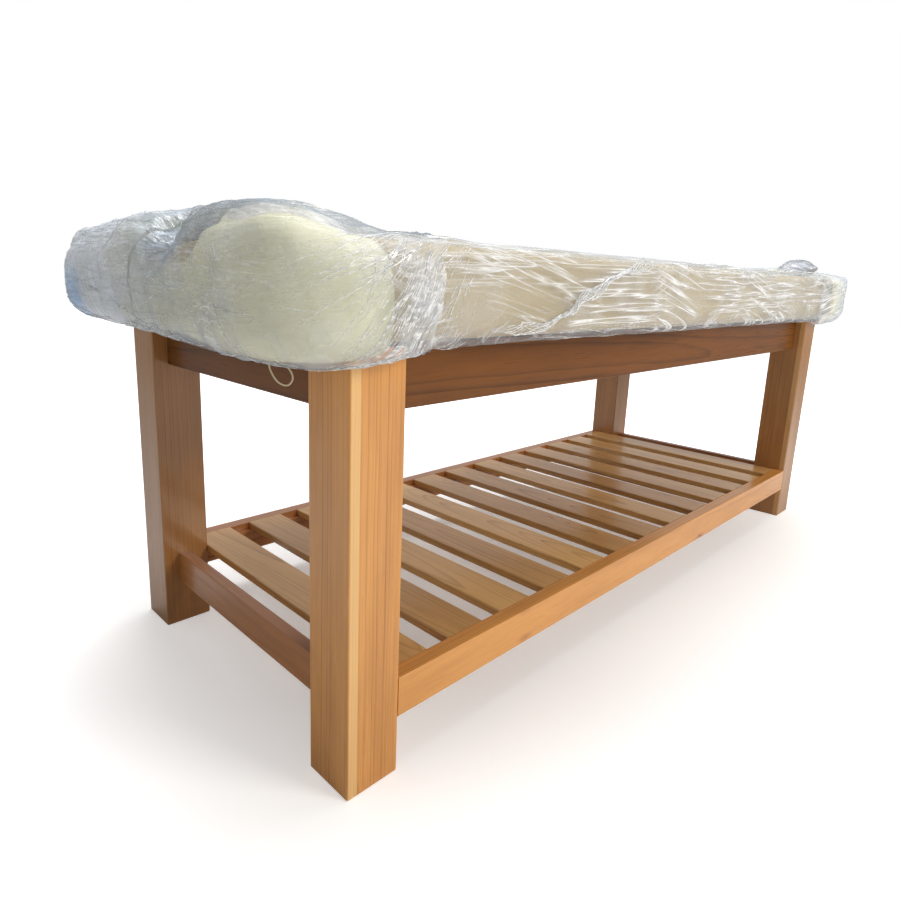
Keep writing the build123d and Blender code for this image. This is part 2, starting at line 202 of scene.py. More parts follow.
# Larch: rings round a tilted pith, stretched fibres, blotches and a few knots.
# Scales run along and across the grain, per metre; ranges are (from, to) and then (at from, at to).

WANDER_SCALE, RIPPLE_SCALE, KNOT_CELLS = (1.4, 7.0, 7.0), (5.0, 60.0, 60.0), (4.0, 12.0, 12.0)
FIBRE_SCALE, FLECK_SCALE, BLOTCH_SCALE = (7.0, 330.0, 330.0), (28.0, 900.0, 900.0), (2.2, 16.0, 16.0)
RIPPLE_DEPTH = 0.0022
KNOT_CHANCE, KNOT_REACH, KNOT_CORE = (0.70, 0.72), (0.13, 0.0), (0.035, 0.015)
KNOT_BEND, KNOT_SHADE, KNOT_EYE = 0.006, 0.45, colour(92, 50, 24)
UNEVEN_TURN, UNEVEN_SHARE = 1.7, 0.35
LATE_SHARPNESS, LATE_END, LATE_BOLDNESS = 4.5, (1.0, 0.9), (0.0, 1.0, 0.25, 1.0)
FLECK_RANGE, BLOTCH_RANGE = (0.62, 0.75), (0.3, 0.75, -0.24, 0.10)
LATE_DARK, FIBRE_DARK, FLECK_DARK = 0.85, 0.46, 0.12
WOOD_ROUGHNESS, LATE_ROUGHNESS = (0.27, 0.36), 0.06
FIBRE_RELIEF, LATE_RELIEF = 0.6, 0.5
WOOD_BUMP = (0.35, 0.0004)
GRAIN_ORDERS = {"x": (0, 1, 2), "y": (1, 0, 2), "z": (2, 0, 1)}
LACQUER, LACQUER_ROUGHNESS, LACQUER_SPECULAR = 0.35, 0.16, 0.5
STRIP_EDGE, STRIP_STRENGTH = 0.0006, 0.62


def make_larch_group():
    """Wood grain that runs along the first coordinate."""
    web, get, result = new_group(
        "larch_grain",
        {"Vector": VECTOR, "Light": COLOUR, "Dark": COLOUR, "Ring Spacing": 0.005, "Pith Across": 0.0,
         "Pith Below": 0.05, "Tilt": 0.03, "Wander": 0.02, "Knots": 0.0, "Seed": 0.0},
        {"Color": COLOUR, "Roughness": FLOAT, "Height": FLOAT},
    )
    place = web.vector("ADD", get["Vector"], web.join(get["Seed"], get["Seed"], 0.0))
    parts = web.split(get["Vector"])
    across = web.less(parts[1], get["Pith Across"])
    below = web.plus(web.plus(parts[2], get["Pith Below"]), web.times(parts[0], get["Tilt"]))
    squares = [web.math("POWER", web.math("ABSOLUTE", value), 2.0) for value in (across, below)]
    distance = web.math("SQRT", web.plus(*squares))
    wander = web.less(web.noise(place, WANDER_SCALE), 0.5)
    distance = web.plus(distance, web.times(wander, get["Wander"]))
    ripple = web.less(web.noise(place, RIPPLE_SCALE, 1.0), 0.5)
    distance = web.plus(distance, web.times(ripple, RIPPLE_DEPTH))

    cells = web.add("ShaderNodeTexVoronoi", {"Vector": web.vector("MULTIPLY", place, KNOT_CELLS), "Scale": 1.0})
    picked = web.add("ShaderNodeSeparateColor", (cells.outputs["Color"],)).outputs[0]
    chosen = web.times(web.ramp(picked, *KNOT_CHANCE), get["Knots"])
    knot = web.times(web.ramp(cells.outputs["Distance"], *KNOT_REACH), chosen)
    core = web.times(web.ramp(cells.outputs["Distance"], *KNOT_CORE), chosen)
    distance = web.plus(distance, web.times(knot, KNOT_BEND))

    count = web.math("DIVIDE", distance, get["Ring Spacing"])
    uneven = web.math("SINE", web.times(count, UNEVEN_TURN))
    count = web.plus(count, web.times(uneven, UNEVEN_SHARE))
    ring = web.math("FRACT", count)
    bold = web.add("ShaderNodeTexWhiteNoise", {"W": web.math("FLOOR", count)}, noise_dimensions="1D").outputs[0]
    late = web.times(web.math("POWER", ring, LATE_SHARPNESS), web.ramp(ring, *LATE_END))
    late = web.times(late, web.ramp(bold, *LATE_BOLDNESS))

    fibre = web.noise(place, FIBRE_SCALE, 3.0, 0.6)
    flecks = web.ramp(web.noise(place, FLECK_SCALE, 1.0), *FLECK_RANGE)
    blotch = web.noise(place, BLOTCH_SCALE, 3.0, 0.6)
    depth = web.plus(web.times(late, LATE_DARK), web.times(fibre, FIBRE_DARK))
    depth = web.plus(depth, web.times(flecks, FLECK_DARK))
    depth = web.plus(depth, web.ramp(blotch, *BLOTCH_RANGE), clamp=True)
    body = web.blend(depth, get["Light"], get["Dark"])
    brown = web.blend(web.times(knot, KNOT_SHADE), body, get["Dark"])
    web.fill(result, {
        "Color": web.blend(core, brown, KNOT_EYE),
        "Roughness": web.plus(web.ramp(fibre, *MIDDLE_OF_NOISE, *WOOD_ROUGHNESS), web.times(late, LATE_ROUGHNESS)),
        "Height": web.less(web.times(fibre, FIBRE_RELIEF), web.times(late, LATE_RELIEF)),
    })
    return web.tree


larch_group = make_larch_group()


def finish_node(node, material):
    """Gives a CAD node its material."""
    mesh = nodes[node].data
    mesh.materials.clear()
    mesh.materials.append(material)


def larch(node, grain, tones, spacing, pith, tilt, wander, knots, seed, strip=None, lacquer=LACQUER):
    """Lacquered larch on a CAD node; strip is (axis, start, end, colour) of a paler lamella."""
    look = Look(node)
    low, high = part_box(node)
    parts = look.split(look.vector("SUBTRACT", look.place, (Vector(low) + Vector(high)) / 2))
    values = {"Vector": look.join(*(parts[axis] for axis in GRAIN_ORDERS[grain])), "Light": tones[0],
              "Dark": tones[1], "Ring Spacing": spacing, "Pith Across": pith[0], "Pith Below": pith[1],
              "Tilt": tilt, "Wander": wander, "Knots": knots, "Seed": seed}
    grained = look.add("ShaderNodeGroup", values, node_tree=larch_group).outputs
    shade = grained["Color"]
    if strip:
        axis, start, end, paler = strip
        inside = look.times(look.ramp(parts[axis], start - STRIP_EDGE, start + STRIP_EDGE),
                            look.ramp(parts[axis], end + STRIP_EDGE, end - STRIP_EDGE))
        shade = look.blend(look.times(inside, STRIP_STRENGTH), shade, paler)
    finish_node(node, look.finish({
        "Base Color": shade, "Roughness": grained["Roughness"], "Coat Weight": lacquer,
        "Coat Roughness": LACQUER_ROUGHNESS, "Specular IOR Level": LACQUER_SPECULAR * lacquer / LACQUER,
    }, grained["Height"], *WOOD_BUMP))


HONEY = (colour(230, 162, 84), colour(152, 90, 36))
OLIVE = (colour(178, 126, 72), colour(108, 68, 32))
RUSSET = (colour(190, 126, 72), colour(118, 68, 34))
WALNUT = (colour(124, 74, 26), colour(54, 27, 8))
YELLOW = (colour(240, 194, 126), colour(178, 122, 62))

LEG_WANDER, BOARD_WANDER, APRON_WANDER = 0.012, 0.02, 0.022
LEG_KNOTS = 0.6
APRON_LACQUER = 0.14

# Leg: tones, ring spacing, pith, tilt, paler strip
LEG_LOOKS = {
    "leg_head_near": (HONEY, 0.0056, (0.13, 0.17), 0.006, (0, -0.0432, -0.0285, colour(246, 204, 138))),
    "leg_head_far": (OLIVE, 0.0050, (-0.15, 0.14), 0.006, None),
    "leg_foot_near": (OLIVE, 0.0054, (0.15, 0.12), 0.008, (1, -0.0432, -0.031, colour(226, 180, 122))),
    "leg_foot_far": (OLIVE, 0.0052, (0.12, 0.15), 0.006, None),
}
for number, (leg, (tones, spacing, pith, tilt, strip)) in enumerate(LEG_LOOKS.items()):
    larch(leg, "z", tones, spacing, pith, tilt, LEG_WANDER, LEG_KNOTS, number * 3.7, strip)

# Board: grain axis, tones, ring spacing, pith, tilt, knots
BOARD_LOOKS = {
    "side_rail_near": ("x", HONEY, 0.0065, (0.09, 0.012), 0.012, 1.0),
    "side_rail_far": ("x", RUSSET, 0.006, (0.08, 0.02), 0.012, 0.7),
    "end_rail_head": ("y", RUSSET, 0.007, (0.07, 0.01), 0.02, 0.6),
    "end_rail_foot": ("y", RUSSET, 0.007, (0.07, 0.015), 0.02, 0.4),
    "side_apron_near": ("x", WALNUT, 0.0085, (0.05, 0.01), 0.03, 0.5),
    "side_apron_far": ("x", WALNUT, 0.0085, (0.05, -0.01), 0.03, 0.4),
    "end_apron_head": ("y", WALNUT, 0.0075, (0.05, 0.02), 0.03, 0.5),
    "end_apron_foot": ("y", WALNUT, 0.0075, (0.05, 0.0), 0.03, 0.4),
    "shelf_ledger_near": ("x", OLIVE, 0.006, (0.06, 0.02), 0.02, 0.5),
    "shelf_ledger_far": ("x", RUSSET, 0.006, (0.06, 0.02), 0.02, 0.5),
    "deck_ledger_near": ("x", OLIVE, 0.007, (0.05, 0.02), 0.02, 0.6),
    "deck_ledger_far": ("x", OLIVE, 0.007, (0.05, 0.0), 0.02, 0.6),
    "deck_end_ledger_head": ("y", OLIVE, 0.007, (0.05, 0.02), 0.02, 0.6),
    "deck_end_ledger_foot": ("y", OLIVE, 0.007, (0.05, 0.01), 0.02, 0.6),
}
for number, (board, (grain, tones, spacing, pith, tilt, knots)) in enumerate(BOARD_LOOKS.items()):
    wander, lacquer = (APRON_WANDER, APRON_LACQUER) if "apron" in board else (BOARD_WANDER, LACQUER)
    larch(board, grain, tones, spacing, pith, tilt, wander, knots, 20 + number * 2.3, lacquer=lacquer)

bearers = sorted(name for name in nodes if name.startswith("deck_bearer"))
for number, bearer in enumerate(bearers):
    larch(bearer, "y", OLIVE, 0.007, (0.03, 0.03), 0.03, BOARD_WANDER, 0.8, 60 + number)

SLAT_PALENESS = (0.35, 0.65)
SLAT_SPACING = (0.0042, 0.003)
SLAT_PITH_ACROSS, SLAT_PITH_BELOW = 0.12, (0.012, 0.05)
SLAT_TILT, SLAT_KNOTS = 0.13, 0.3

slats = sorted(name for name in nodes if name.startswith("shelf_slat"))
shades = np.random.default_rng(7).uniform(0, 1, (len(slats), 4))
for number, slat in enumerate(slats):
    pale, flat_sawn, side, tilt = shades[number]
    share = SLAT_PALENESS[0] + SLAT_PALENESS[1] * pale
    tones = [tuple(a + (b - a) * share for a, b in zip(one, two)) for one, two in zip(OLIVE, YELLOW)]
    pith = ((side - 0.5) * SLAT_PITH_ACROSS, SLAT_PITH_BELOW[0] + flat_sawn * SLAT_PITH_BELOW[1])
    larch(slat, "y", tones, SLAT_SPACING[0] + flat_sawn * SLAT_SPACING[1], pith, (tilt - 0.5) * SLAT_TILT,
          BOARD_WANDER, SLAT_KNOTS, 80 + number * 1.9)

VENEER = 0.003
VENEER_EDGE = (0.45, 0.55)
VENEER_SHARE = 0.35


def plywood():
    """Deck panel: veneer layers on its edges and a plain face veneer."""
    look = Look("plywood")
    layer = look.math("FRACT", look.math("DIVIDE", look.split(look.place)[2], VENEER))
    fibre = look.noise(look.place, (5.0, 180.0, 400.0), 3.0, 0.6)
    face = look.blend(fibre, colour(214, 178, 130), colour(176, 134, 86))
    edge = look.times(look.ramp(layer, *VENEER_EDGE), VENEER_SHARE)
    return look.finish({
        "Base Color": look.blend(edge, face, colour(132, 90, 54)),
        "Roughness": look.ramp(fibre, *MIDDLE_OF_NOISE, 0.55, 0.72),
    }, fibre, 0.3, 0.0004)


def zinc():
    """Zinc plated screws with fine turning marks."""
    look = Look("zinc")
    grain = look.noise(look.place, 900.0, 3.0, 0.6)
    return look.finish({
        "Base Color": look.blend(grain, colour(196, 198, 202), colour(150, 150, 152)),
        "Roughness": look.ramp(grain, *MIDDLE_OF_NOISE, 0.25, 0.45), "Metallic": 0.95,
    }, grain, 0.2, 0.0001)


finish_node("deck_panel", plywood())
finish_node("shelf_screws", zinc())


# Seeded value noise on points, in metres

HASH = (73856093, 19349663, 83492791, 2654435761, 1274126177)
LOW_BITS = 0xFFFFFF
SWIRL_SIZE, SWIRL_REACH, SWIRL_SEED = 0.16, 0.05, 50
RIDGE_DRIFT = np.array((1.0, 0.7, 0.4))


def lattice(cells, seed):
    """Pseudo-random value from 0 to 1 for each whole-number cell."""
    x, y, z = cells.T
    mixed = x * HASH[0] ^ y * HASH[1] ^ z * HASH[2] ^ seed * HASH[3]
    mixed = (mixed ^ (mixed >> 13)) * HASH[4]
    mixed = mixed ^ (mixed >> 16)
    return (mixed & LOW_BITS) / LOW_BITS


def eased(share):
    """A share from 0 to 1 with soft ends."""
    return share * share * (3 - 2 * share)


def value_noise(points, seed):
    """Smooth noise from 0 to 1, one cell to the unit."""
    base = np.floor(points).astype(np.int64)
    part = eased(points - base)
    total = np.zeros(len(points))
    for corner in np.ndindex(2, 2, 2):
        weight = np.prod(np.where(np.array(corner) == 1, part, 1 - part), axis=1)
        total += weight * lattice(base + np.array(corner), seed)
    return total


def ridges(points, along, length, width, seed, sharpness):
    """Ridge lines from 0 to 1 that run along a direction, length and width apart."""
    along = np.array(along, float)
    along /= np.linalg.norm(along)
    share = points @ along
    rest = points - share[:, None] * along
    swirl = value_noise(points / SWIRL_SIZE, seed + SWIRL_SEED)[:, None] * SWIRL_REACH
    value = value_noise(rest / width + swirl / width + (share / length)[:, None] * RIDGE_DRIFT, seed)
    return (1 - np.abs(2 * value - 1)) ** sharpness


# Mesh helpers

def new_piece(name):
    """Object of the scene with an empty mesh."""
    piece = bpy.data.objects.new(name, bpy.data.meshes.new(name))
    scene.collection.objects.link(piece)
    return piece


@contextmanager
def editing(piece):
    """A piece's mesh opened for editing, and written back at the end."""
    form = bmesh.new()
    form.from_mesh(piece.data)
    yield form
    form.to_mesh(piece.data)
    form.free()


def of_kind(items, kind):
    """The items of a mesh operator's result that are of one kind."""
    return [item for item in items if isinstance(item, kind)]


def values_of(piece, label):
    """Vertex places or normals as an array."""
    values = np.empty(len(piece.data.vertices) * 3, np.float32)
    piece.data.vertices.foreach_get(label, values)
    return values.reshape(-1, 3).astype(float)


def points_of(piece):
    """Vertex places as an array."""
    return values_of(piece, "co")


def move_points(piece, places):
    """Writes vertex places back."""
    piece.data.vertices.foreach_set("co", places.astype(np.float32).ravel())
    piece.data.update()
    return piece


def raised(piece, lift):
    """Moves points out along their normals, by one height or one for each point."""
    return move_points(piece, points_of(piece) + values_of(piece, "normal") * np.reshape(lift, (-1, 1)))


def baked(piece):
    """Applies a piece's modifiers."""
    evaluated = piece.evaluated_get(bpy.context.evaluated_depsgraph_get())
    mesh = bpy.data.meshes.new_from_object(evaluated)
    piece.modifiers.clear()
    piece.data = mesh
    return piece


WELD = 1e-5


def hull_of(name, source):
    """Closed convex skin round a CAD node."""
    piece = new_piece(name)
    with editing(piece) as form:
        form.from_mesh(nodes[source].data)
        bmesh.ops.remove_doubles(form, verts=form.verts, dist=WELD)
        found = bmesh.ops.convex_hull(form, input=form.verts)
        bmesh.ops.delete(form, geom=of_kind(found["geom_interior"], bmesh.types.BMVert), context="VERTS")
        skin = set(of_kind(found["geom"], bmesh.types.BMFace))
        bmesh.ops.delete(form, geom=[face for face in form.faces if face not in skin], context="FACES_ONLY")
        bmesh.ops.recalc_face_normals(form, faces=form.faces)
    return piece


def remeshed(piece, voxel):
    """Even quads over a closed form."""
    modifier = piece.modifiers.new("remesh", "REMESH")
    modifier.mode = "VOXEL"
    modifier.voxel_size = voxel
    return baked(piece)


def relaxed(piece, rounds):
    """Smooths the form a little."""
    with editing(piece) as form:
        for _ in range(rounds):
            bmesh.ops.smooth_vert(form, verts=form.verts, factor=0.5, use_axis_x=True, use_axis_y=True,
                                  use_axis_z=True)
    return piece


def soft_form(name, node, voxel, rounds):
    """Even skin round a CAD node, smoothed for a number of rounds."""
    return relaxed(remeshed(hull_of(name, node), voxel), rounds)


def drop_faces(piece, unwanted):
    """Deletes the faces that a test on centre and normal picks."""
    with editing(piece) as form:
        form.normal_update()
        picked = [face for face in form.faces if unwanted(face.calc_center_median(), face.normal)]
        bmesh.ops.delete(form, geom=picked, context="FACES")


def subdivided(piece):
    """One level of subdivision, applied."""
    modifier = piece.modifiers.new("subdivision", "SUBSURF")
    modifier.levels = 1
    modifier.render_levels = 1
    return baked(piece)


def combined(piece, other, operation):
    """Boolean of a piece with another form, which is then removed."""
    modifier = piece.modifiers.new("boolean", "BOOLEAN")
    modifier.object = other
    modifier.operation = operation
    modifier.solver = "EXACT"
    baked(piece)
    bpy.data.objects.remove(other)


def cut_at(piece, x, keep_lower):
    """Keeps one side of an upright plane and closes the cut."""
    with editing(piece) as form:
        cut = bmesh.ops.bisect_plane(
            form, geom=form.verts[:] + form.edges[:] + form.faces[:], plane_co=(x, 0, 0), plane_no=(1, 0, 0),
            clear_outer=keep_lower, clear_inner=not keep_lower)
        bmesh.ops.edgeloop_fill(form, edges=of_kind(cut["geom_cut"], bmesh.types.BMEdge))
        bmesh.ops.recalc_face_normals(form, faces=form.faces)
    return piece


def prism(name, outline, low, high):
    """Upright prism on a plan outline."""
    piece = new_piece(name)
    with editing(piece) as form:
        face = form.faces.new([form.verts.new((x, y, low)) for x, y in outline])
        lifted = bmesh.ops.extrude_face_region(form, geom=[face])["geom"]
        bmesh.ops.translate(form, vec=(0, 0, high - low), verts=of_kind(lifted, bmesh.types.BMVert))
        bmesh.ops.recalc_face_normals(form, faces=form.faces)
    return piece


def dress(piece, material, slot, *replaced):
    """Material, smooth shading, body and replaced nodes of a piece on the mattress; the slot argument is not used.
    """
    piece.data.materials.clear()
    piece.data.materials.append(material)
    piece.data.polygons.foreach_set("use_smooth", [True] * len(piece.data.polygons))
    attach(piece, "mattress")
    if replaced:
        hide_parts(*replaced)


CLOTH_FRAMES = 20
CLOTH_PRESSURE = 4.0


def puffed(piece, cap):
    """Cloth simulation that swells a closed form, with a cap on how far a point moves."""
    before = points_of(piece)
    modifier = piece.modifiers.new("cloth", "CLOTH")
    modifier.settings.use_pressure = True
    modifier.settings.uniform_pressure_force = CLOTH_PRESSURE
    modifier.settings.effector_weights.gravity = 0
    modifier.point_cache.frame_end = CLOTH_FRAMES
    for number in range(1, CLOTH_FRAMES + 1):
        scene.frame_set(number)
    evaluated = piece.evaluated_get(bpy.context.evaluated_depsgraph_get())
    after = np.array([vertex.co for vertex in evaluated.data.vertices])
    piece.modifiers.clear()
    scene.frame_set(1)
    step = after - before
    reach = np.linalg.norm(step, axis=1, keepdims=True)
    move_points(piece, before + step * np.minimum(1, cap / np.maximum(reach, 1e-9)))


# Foam and leather

def foam_look():
    """Pale wadding with soft mottling and short fibres."""
    look = Look("cream_foam")
    light, dark = colour(244, 242, 214), colour(222, 220, 186)
    cloud = look.noise(look.place, 9.0, 4.0, 0.6)
    fuzz = look.noise(look.place, 420.0, 3.0, 0.7)
    pull = look.noise(look.place, (30.0, 30.0, 160.0), 2.0, 0.6, 0.6)
    shade = look.blend(look.ramp(cloud, *MIDDLE_OF_NOISE), light, dark)
    return look.finish({
        "Base Color": look.blend(look.times(fuzz, 0.35), shade, dark),
        "Roughness": look.ramp(fuzz, *MIDDLE_OF_NOISE, 0.75, 0.95),
    }, look.plus(look.times(pull, 1.4), fuzz), 0.5, 0.0016)


def leather_look():
    """Beige artificial leather with a fine pebble and faint creases."""
    look = Look("beige_leather")
    pebble = look.add("ShaderNodeTexVoronoi", {"Vector": look.place, "Scale": 520.0}).outputs["Distance"]
    cloud = look.noise(look.place, (2.5, 9.0, 9.0), 3.0, 0.5)
    crease = look.noise(look.place, (9.0, 9.0, 60.0), 3.0, 0.6, 1.0)
    shade = look.blend(look.ramp(cloud, *MIDDLE_OF_NOISE), colour(200, 183, 142), colour(180, 161, 118))
    return look.finish({
        "Base Color": look.blend(look.times(pebble, 0.3), shade, colour(150, 136, 106)),
        "Roughness": look.ramp(pebble, 0.1, 0.7, 0.42, 0.58),
    }, look.plus(look.times(pebble, 0.35), crease), 0.4, 0.0012)


cream_foam = foam_look()
leather = leather_look()

head_low, head_high = (Vector(corner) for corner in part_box("film_head"))
body_low, body_high = (Vector(corner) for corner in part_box("film_body"))
foot_low, foot_high = (Vector(corner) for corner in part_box("film_foot"))


# Soft forms of the wrapped ends, in metres; depth is how far a layer lies under the outer film.
# Rounds are the radii of the plan corners, the plan edge, the top, the bottom and the rear.

TOP_STATIONS = (-1.03, -1.00, -0.95, -0.90, -0.87, -0.84, -0.81, -0.79, -0.775, -0.70)
TOP_HEIGHTS = (0.774, 0.784, 0.793, 0.801, 0.804, 0.795, 0.776, 0.764, 0.761, 0.761)
SHOULDER_RISE = (-1.0, 0.10)
SHOULDER_START, SHOULDER_WIDTH, SHOULDER_POWER, SHOULDER_DROP = 0.12, 0.25, 1.52, 0.052
FAR_WIDTH, FAR_DROP = 0.3, 0.011
MATTRESS_TOP, MATTRESS_CROWN, MATTRESS_HALF = 0.7625, 0.009, 0.376
HEAD_FRONT, HEAD_SIDE, HEAD_BOTTOM = -1.0215, 0.4035, 0.6025
BOTTOM_RISE, BOTTOM_START, BOTTOM_WIDTH = 0.020, -0.3, 0.6
HEAD_ROUNDS = (0.12, 0.05, 0.06, 0.040, 0.040)
FOOT_END, FOOT_BOTTOM = 1.0215, 0.6150
FOOT_ROUNDS = (0.10, 0.040, 0.035, 0.040, 0.040)
NOTCH_MIDDLE, NOTCH_HALF, NOTCH_UPPER, NOTCH_REACH = -0.058, 0.068, (0.68, 0.06), (0.905, 0.05)
END_FOR_END = np.array([-1.0, 1.0, 1.0])


def kept_inside(places, front, side, top, bottom, rounds, rear=None):
    """Keeps points inside an end's soft form: round in plan and along its upper and lower edges."""
    plan_round, edge_round, top_round, bottom_round, rear_round = rounds
    x, y, z = places.T
    sides = np.abs(y)
    near = np.stack([1 - (x - front) / plan_round, 1 - (side - sides) / plan_round])
    if rear is not None:
        near = np.vstack([near, 1 - (rear - x) / rear_round])
    near = np.maximum(near, 0)
    plan = np.sqrt((near ** 2).sum(0))
    edge = np.maximum(1 - plan_round * (1 - plan) / edge_round, 0)
    high, low = np.maximum(1 - (top - z) / top_round, 0), np.maximum(1 - (z - bottom) / bottom_round, 0)
    over = np.maximum(np.sqrt(edge ** 2 + high ** 2 + low ** 2), 1)
    wanted = 1 - edge_round * (1 - edge / over) / plan_round
    near = near * np.where((edge > 0) & (plan > 0), wanted / np.maximum(plan, 1e-6), 1)
    moved = places.copy()
    moved[:, 0] = np.where(near[0] > 0, front + plan_round * (1 - near[0]), x)
    moved[:, 1] = np.sign(y) * np.where(near[1] > 0, side - plan_round * (1 - near[1]), sides)
    if rear is not None:
        moved[:, 0] = np.where(near[2] > 0, rear - rear_round * (1 - near[2]), moved[:, 0])
    moved[:, 2] = np.where(high > 0, top - top_round * (1 - high / over), z)
    moved[:, 2] = np.where(low > 0, bottom + bottom_round * (1 - low / over), moved[:, 2])
    return moved


def rise(value, start, length):
    """Share from 0 to 1 of a value past a start."""
    return np.clip((value - start) / length, 0, 1)


def bell(value, middle, width):
    """Smooth hump of height 1."""
    return np.exp(-(((value - middle) / width) ** 2))


def settled_head(places, depth, top_depth, rear=None):
    """The wrapped head's form, crowned on top and falling to its shoulders and waist."""
    x, y, _ = places.T
    past = np.clip(np.abs(y) - SHOULDER_START, 0, 1) / SHOULDER_WIDTH
    shoulder = SHOULDER_DROP * rise(x, *SHOULDER_RISE) * past ** SHOULDER_POWER
    crown = np.interp(x, TOP_STATIONS, TOP_HEIGHTS) - shoulder - FAR_DROP * rise(y, 0, FAR_WIDTH)
    mattress = MATTRESS_TOP - MATTRESS_CROWN * (y / MATTRESS_HALF) ** 2
    top = np.maximum(crown - top_depth, mattress - depth)
    bottom = HEAD_BOTTOM + BOTTOM_RISE * rise(y, BOTTOM_START, BOTTOM_WIDTH) - depth * 0.2
    return kept_inside(places, HEAD_FRONT + depth, HEAD_SIDE - depth, top, bottom, HEAD_ROUNDS, rear)


def settled_foot(places, depth):
    """The wrapped foot end's form, worked out with the bed turned end for end."""
    return kept_inside(places * END_FOR_END, depth - FOOT_END, HEAD_SIDE - depth, foot_high.z - depth * 0.5,
                       FOOT_BOTTOM + depth * 0.3, FOOT_ROUNDS) * END_FOR_END


def notch_dent(places, amount):
    """Lets the upper edge sink into the face notch."""
    x, y, z = places.T
    along = eased(rise(-x, *NOTCH_REACH))
    places[:, 2] -= amount * bell(y, NOTCH_MIDDLE, NOTCH_HALF) * along * rise(z, *NOTCH_UPPER)
    return places


PAD_VOXEL = 0.016
PAD_SWELL = 0.004
COVERED_START, COVERED_LENGTH = 0.88, 0.03
COVER_DEPTH, COVER_TOP_DEPTH, COVER_DENT = 0.019, 0.03, 0.038

mattress_pad = raised(soft_form("mattress_pad", "mattress_cover", PAD_VOXEL, 1), -PAD_SWELL)
puffed(mattress_pad, PAD_SWELL)
covered = points_of(mattress_pad)
share = rise(-covered[:, 0], COVERED_START, COVERED_LENGTH)[:, None]
drawn_in = notch_dent(settled_head(covered.copy(), COVER_DEPTH, COVER_TOP_DEPTH), COVER_DENT)
move_points(mattress_pad, covered * (1 - share) + drawn_in * share)
dress(subdivided(mattress_pad), leather, "cover_leather", "mattress_cover", "mattress_core")

WRAP_VOXEL, FINE_VOXEL = 0.0095, 0.009
PAD_INSET, PAD_SLACK, PAD_REAR, PAD_TIGHTENED = 0.006, 0.017, -0.836, 0.002
CAP_EDGE_HEAD, CAP_EDGE_FOOT = -0.845, 0.866
LOWER_PART, LOWER_STRETCH = 0.68, 0.3
CORE_SHARES = np.array((0.972, 0.945, 0.985))
NOTCH_PLAN = [(-1.06, -0.100), (-0.93, -0.068), (-0.905, -0.045), (-0.896, 0.0),
              (-0.905, 0.045), (-0.93, 0.068), (-1.06, 0.100)]
NOTCH_LOW, NOTCH_HIGH = 0.722, 0.86
FRAME_END, FRAME_SIDE, FRAME_TOP, FRAME_PLAY = 0.902, 0.347, 0.6230, 0.002


def wrap_form(name, film_node, edge, keep_lower, rounds):
    """Foam wrap under a film hood: the hood's form drawn in, cut off at its edge."""
    return cut_at(raised(soft_form(name, film_node, FINE_VOXEL, rounds), -PAD_INSET), edge, keep_lower)


def off_frame(piece):
    """Raises what would sit in the frame under a wrapped end."""
    places = points_of(piece)
    x, y, z = np.abs(places.T)
    places[(x < FRAME_END) & (y < FRAME_SIDE) & (z < FRAME_TOP), 2] = FRAME_TOP
    return move_points(piece, places)


def over_frame(middle, _):
    """Faces of a film that lie within the frame's outline, at or under its top."""
    return abs(middle.x) < FRAME_END and abs(middle.y) < FRAME_SIDE and middle.z < FRAME_TOP + FRAME_PLAY


head_pad = wrap_form("head_pad", "film_head", CAP_EDGE_HEAD, True, 6)
lower = points_of(head_pad)
lower[:, 2] -= LOWER_STRETCH * np.clip(LOWER_PART - lower[:, 2], 0, 1)
move_points(head_pad, lower)
combined(head_pad, soft_form("cushion_form", "head_cushion", FINE_VOXEL, 6), "UNION")
remeshed(head_pad, WRAP_VOXEL)
remeshed(move_points(head_pad, settled_head(points_of(head_pad), PAD_INSET, PAD_SLACK, PAD_REAR)), FINE_VOXEL)
core_form = hull_of("core_form", "mattress_cover")
combined(head_pad, move_points(core_form, points_of(core_form) * CORE_SHARES), "DIFFERENCE")
notch_outline = [(x, y + NOTCH_MIDDLE) for x, y in NOTCH_PLAN]
combined(head_pad, prism("notch_form", notch_outline, NOTCH_LOW, NOTCH_HIGH), "DIFFERENCE")
remeshed(head_pad, WRAP_VOXEL)
raised(relaxed(head_pad, 3), -PAD_TIGHTENED)
puffed(head_pad, PAD_INSET)
dress(subdivided(off_frame(head_pad)), cream_foam, "cap_foam", "head_cushion", "head_foam_cap")

foot_pad = wrap_form("foot_pad", "film_foot", CAP_EDGE_FOOT, False, 4)
remeshed(move_points(foot_pad, settled_foot(points_of(foot_pad), PAD_INSET)), FINE_VOXEL)
combined(foot_pad, hull_of("mattress_form", "mattress_cover"), "DIFFERENCE")
remeshed(foot_pad, WRAP_VOXEL)
relaxed(foot_pad, 2)
puffed(foot_pad, PAD_SWELL)
dress(subdivided(off_frame(foot_pad)), cream_foam, "cap_foam", "foot_foam_cap")


# Stretch film: colours, and the numbers of its lines, cloudiness and bump

# The rim colour is a painted reflection, blended in where the film is seen at a grazing angle.
FILM_TINT, FILM_CLOUD, FILM_RIM_REFLECTION = (0.93, 0.95, 0.97, 1.0), (0.80, 0.83, 0.88, 1.0), (0.50, 0.58, 0.68, 1.0)
STREAK_DISTORTION, STREAK_SHARPNESS = 0.12, 3.0
PATCH_SCALE, PATCH_SHARE, PATCH_EDGE = (4.0, 9.0, 9.0), 0.8, 0.16
CLOUD_SCALE, CLOUD_RANGE = 11.0, (0.35, 0.7)
FACING_BLEND, RIM_REFLECTION_RANGE = 0.35, (0.35, 0.8, 0.0, 0.95)
EVEN_HAZE = 0.6
PAINTED_REFLECTION_CORE = 0.35
FILM_ROUGHNESS = (0.12, 0.3)
FILM_BUMP = (0.7, 0.004)


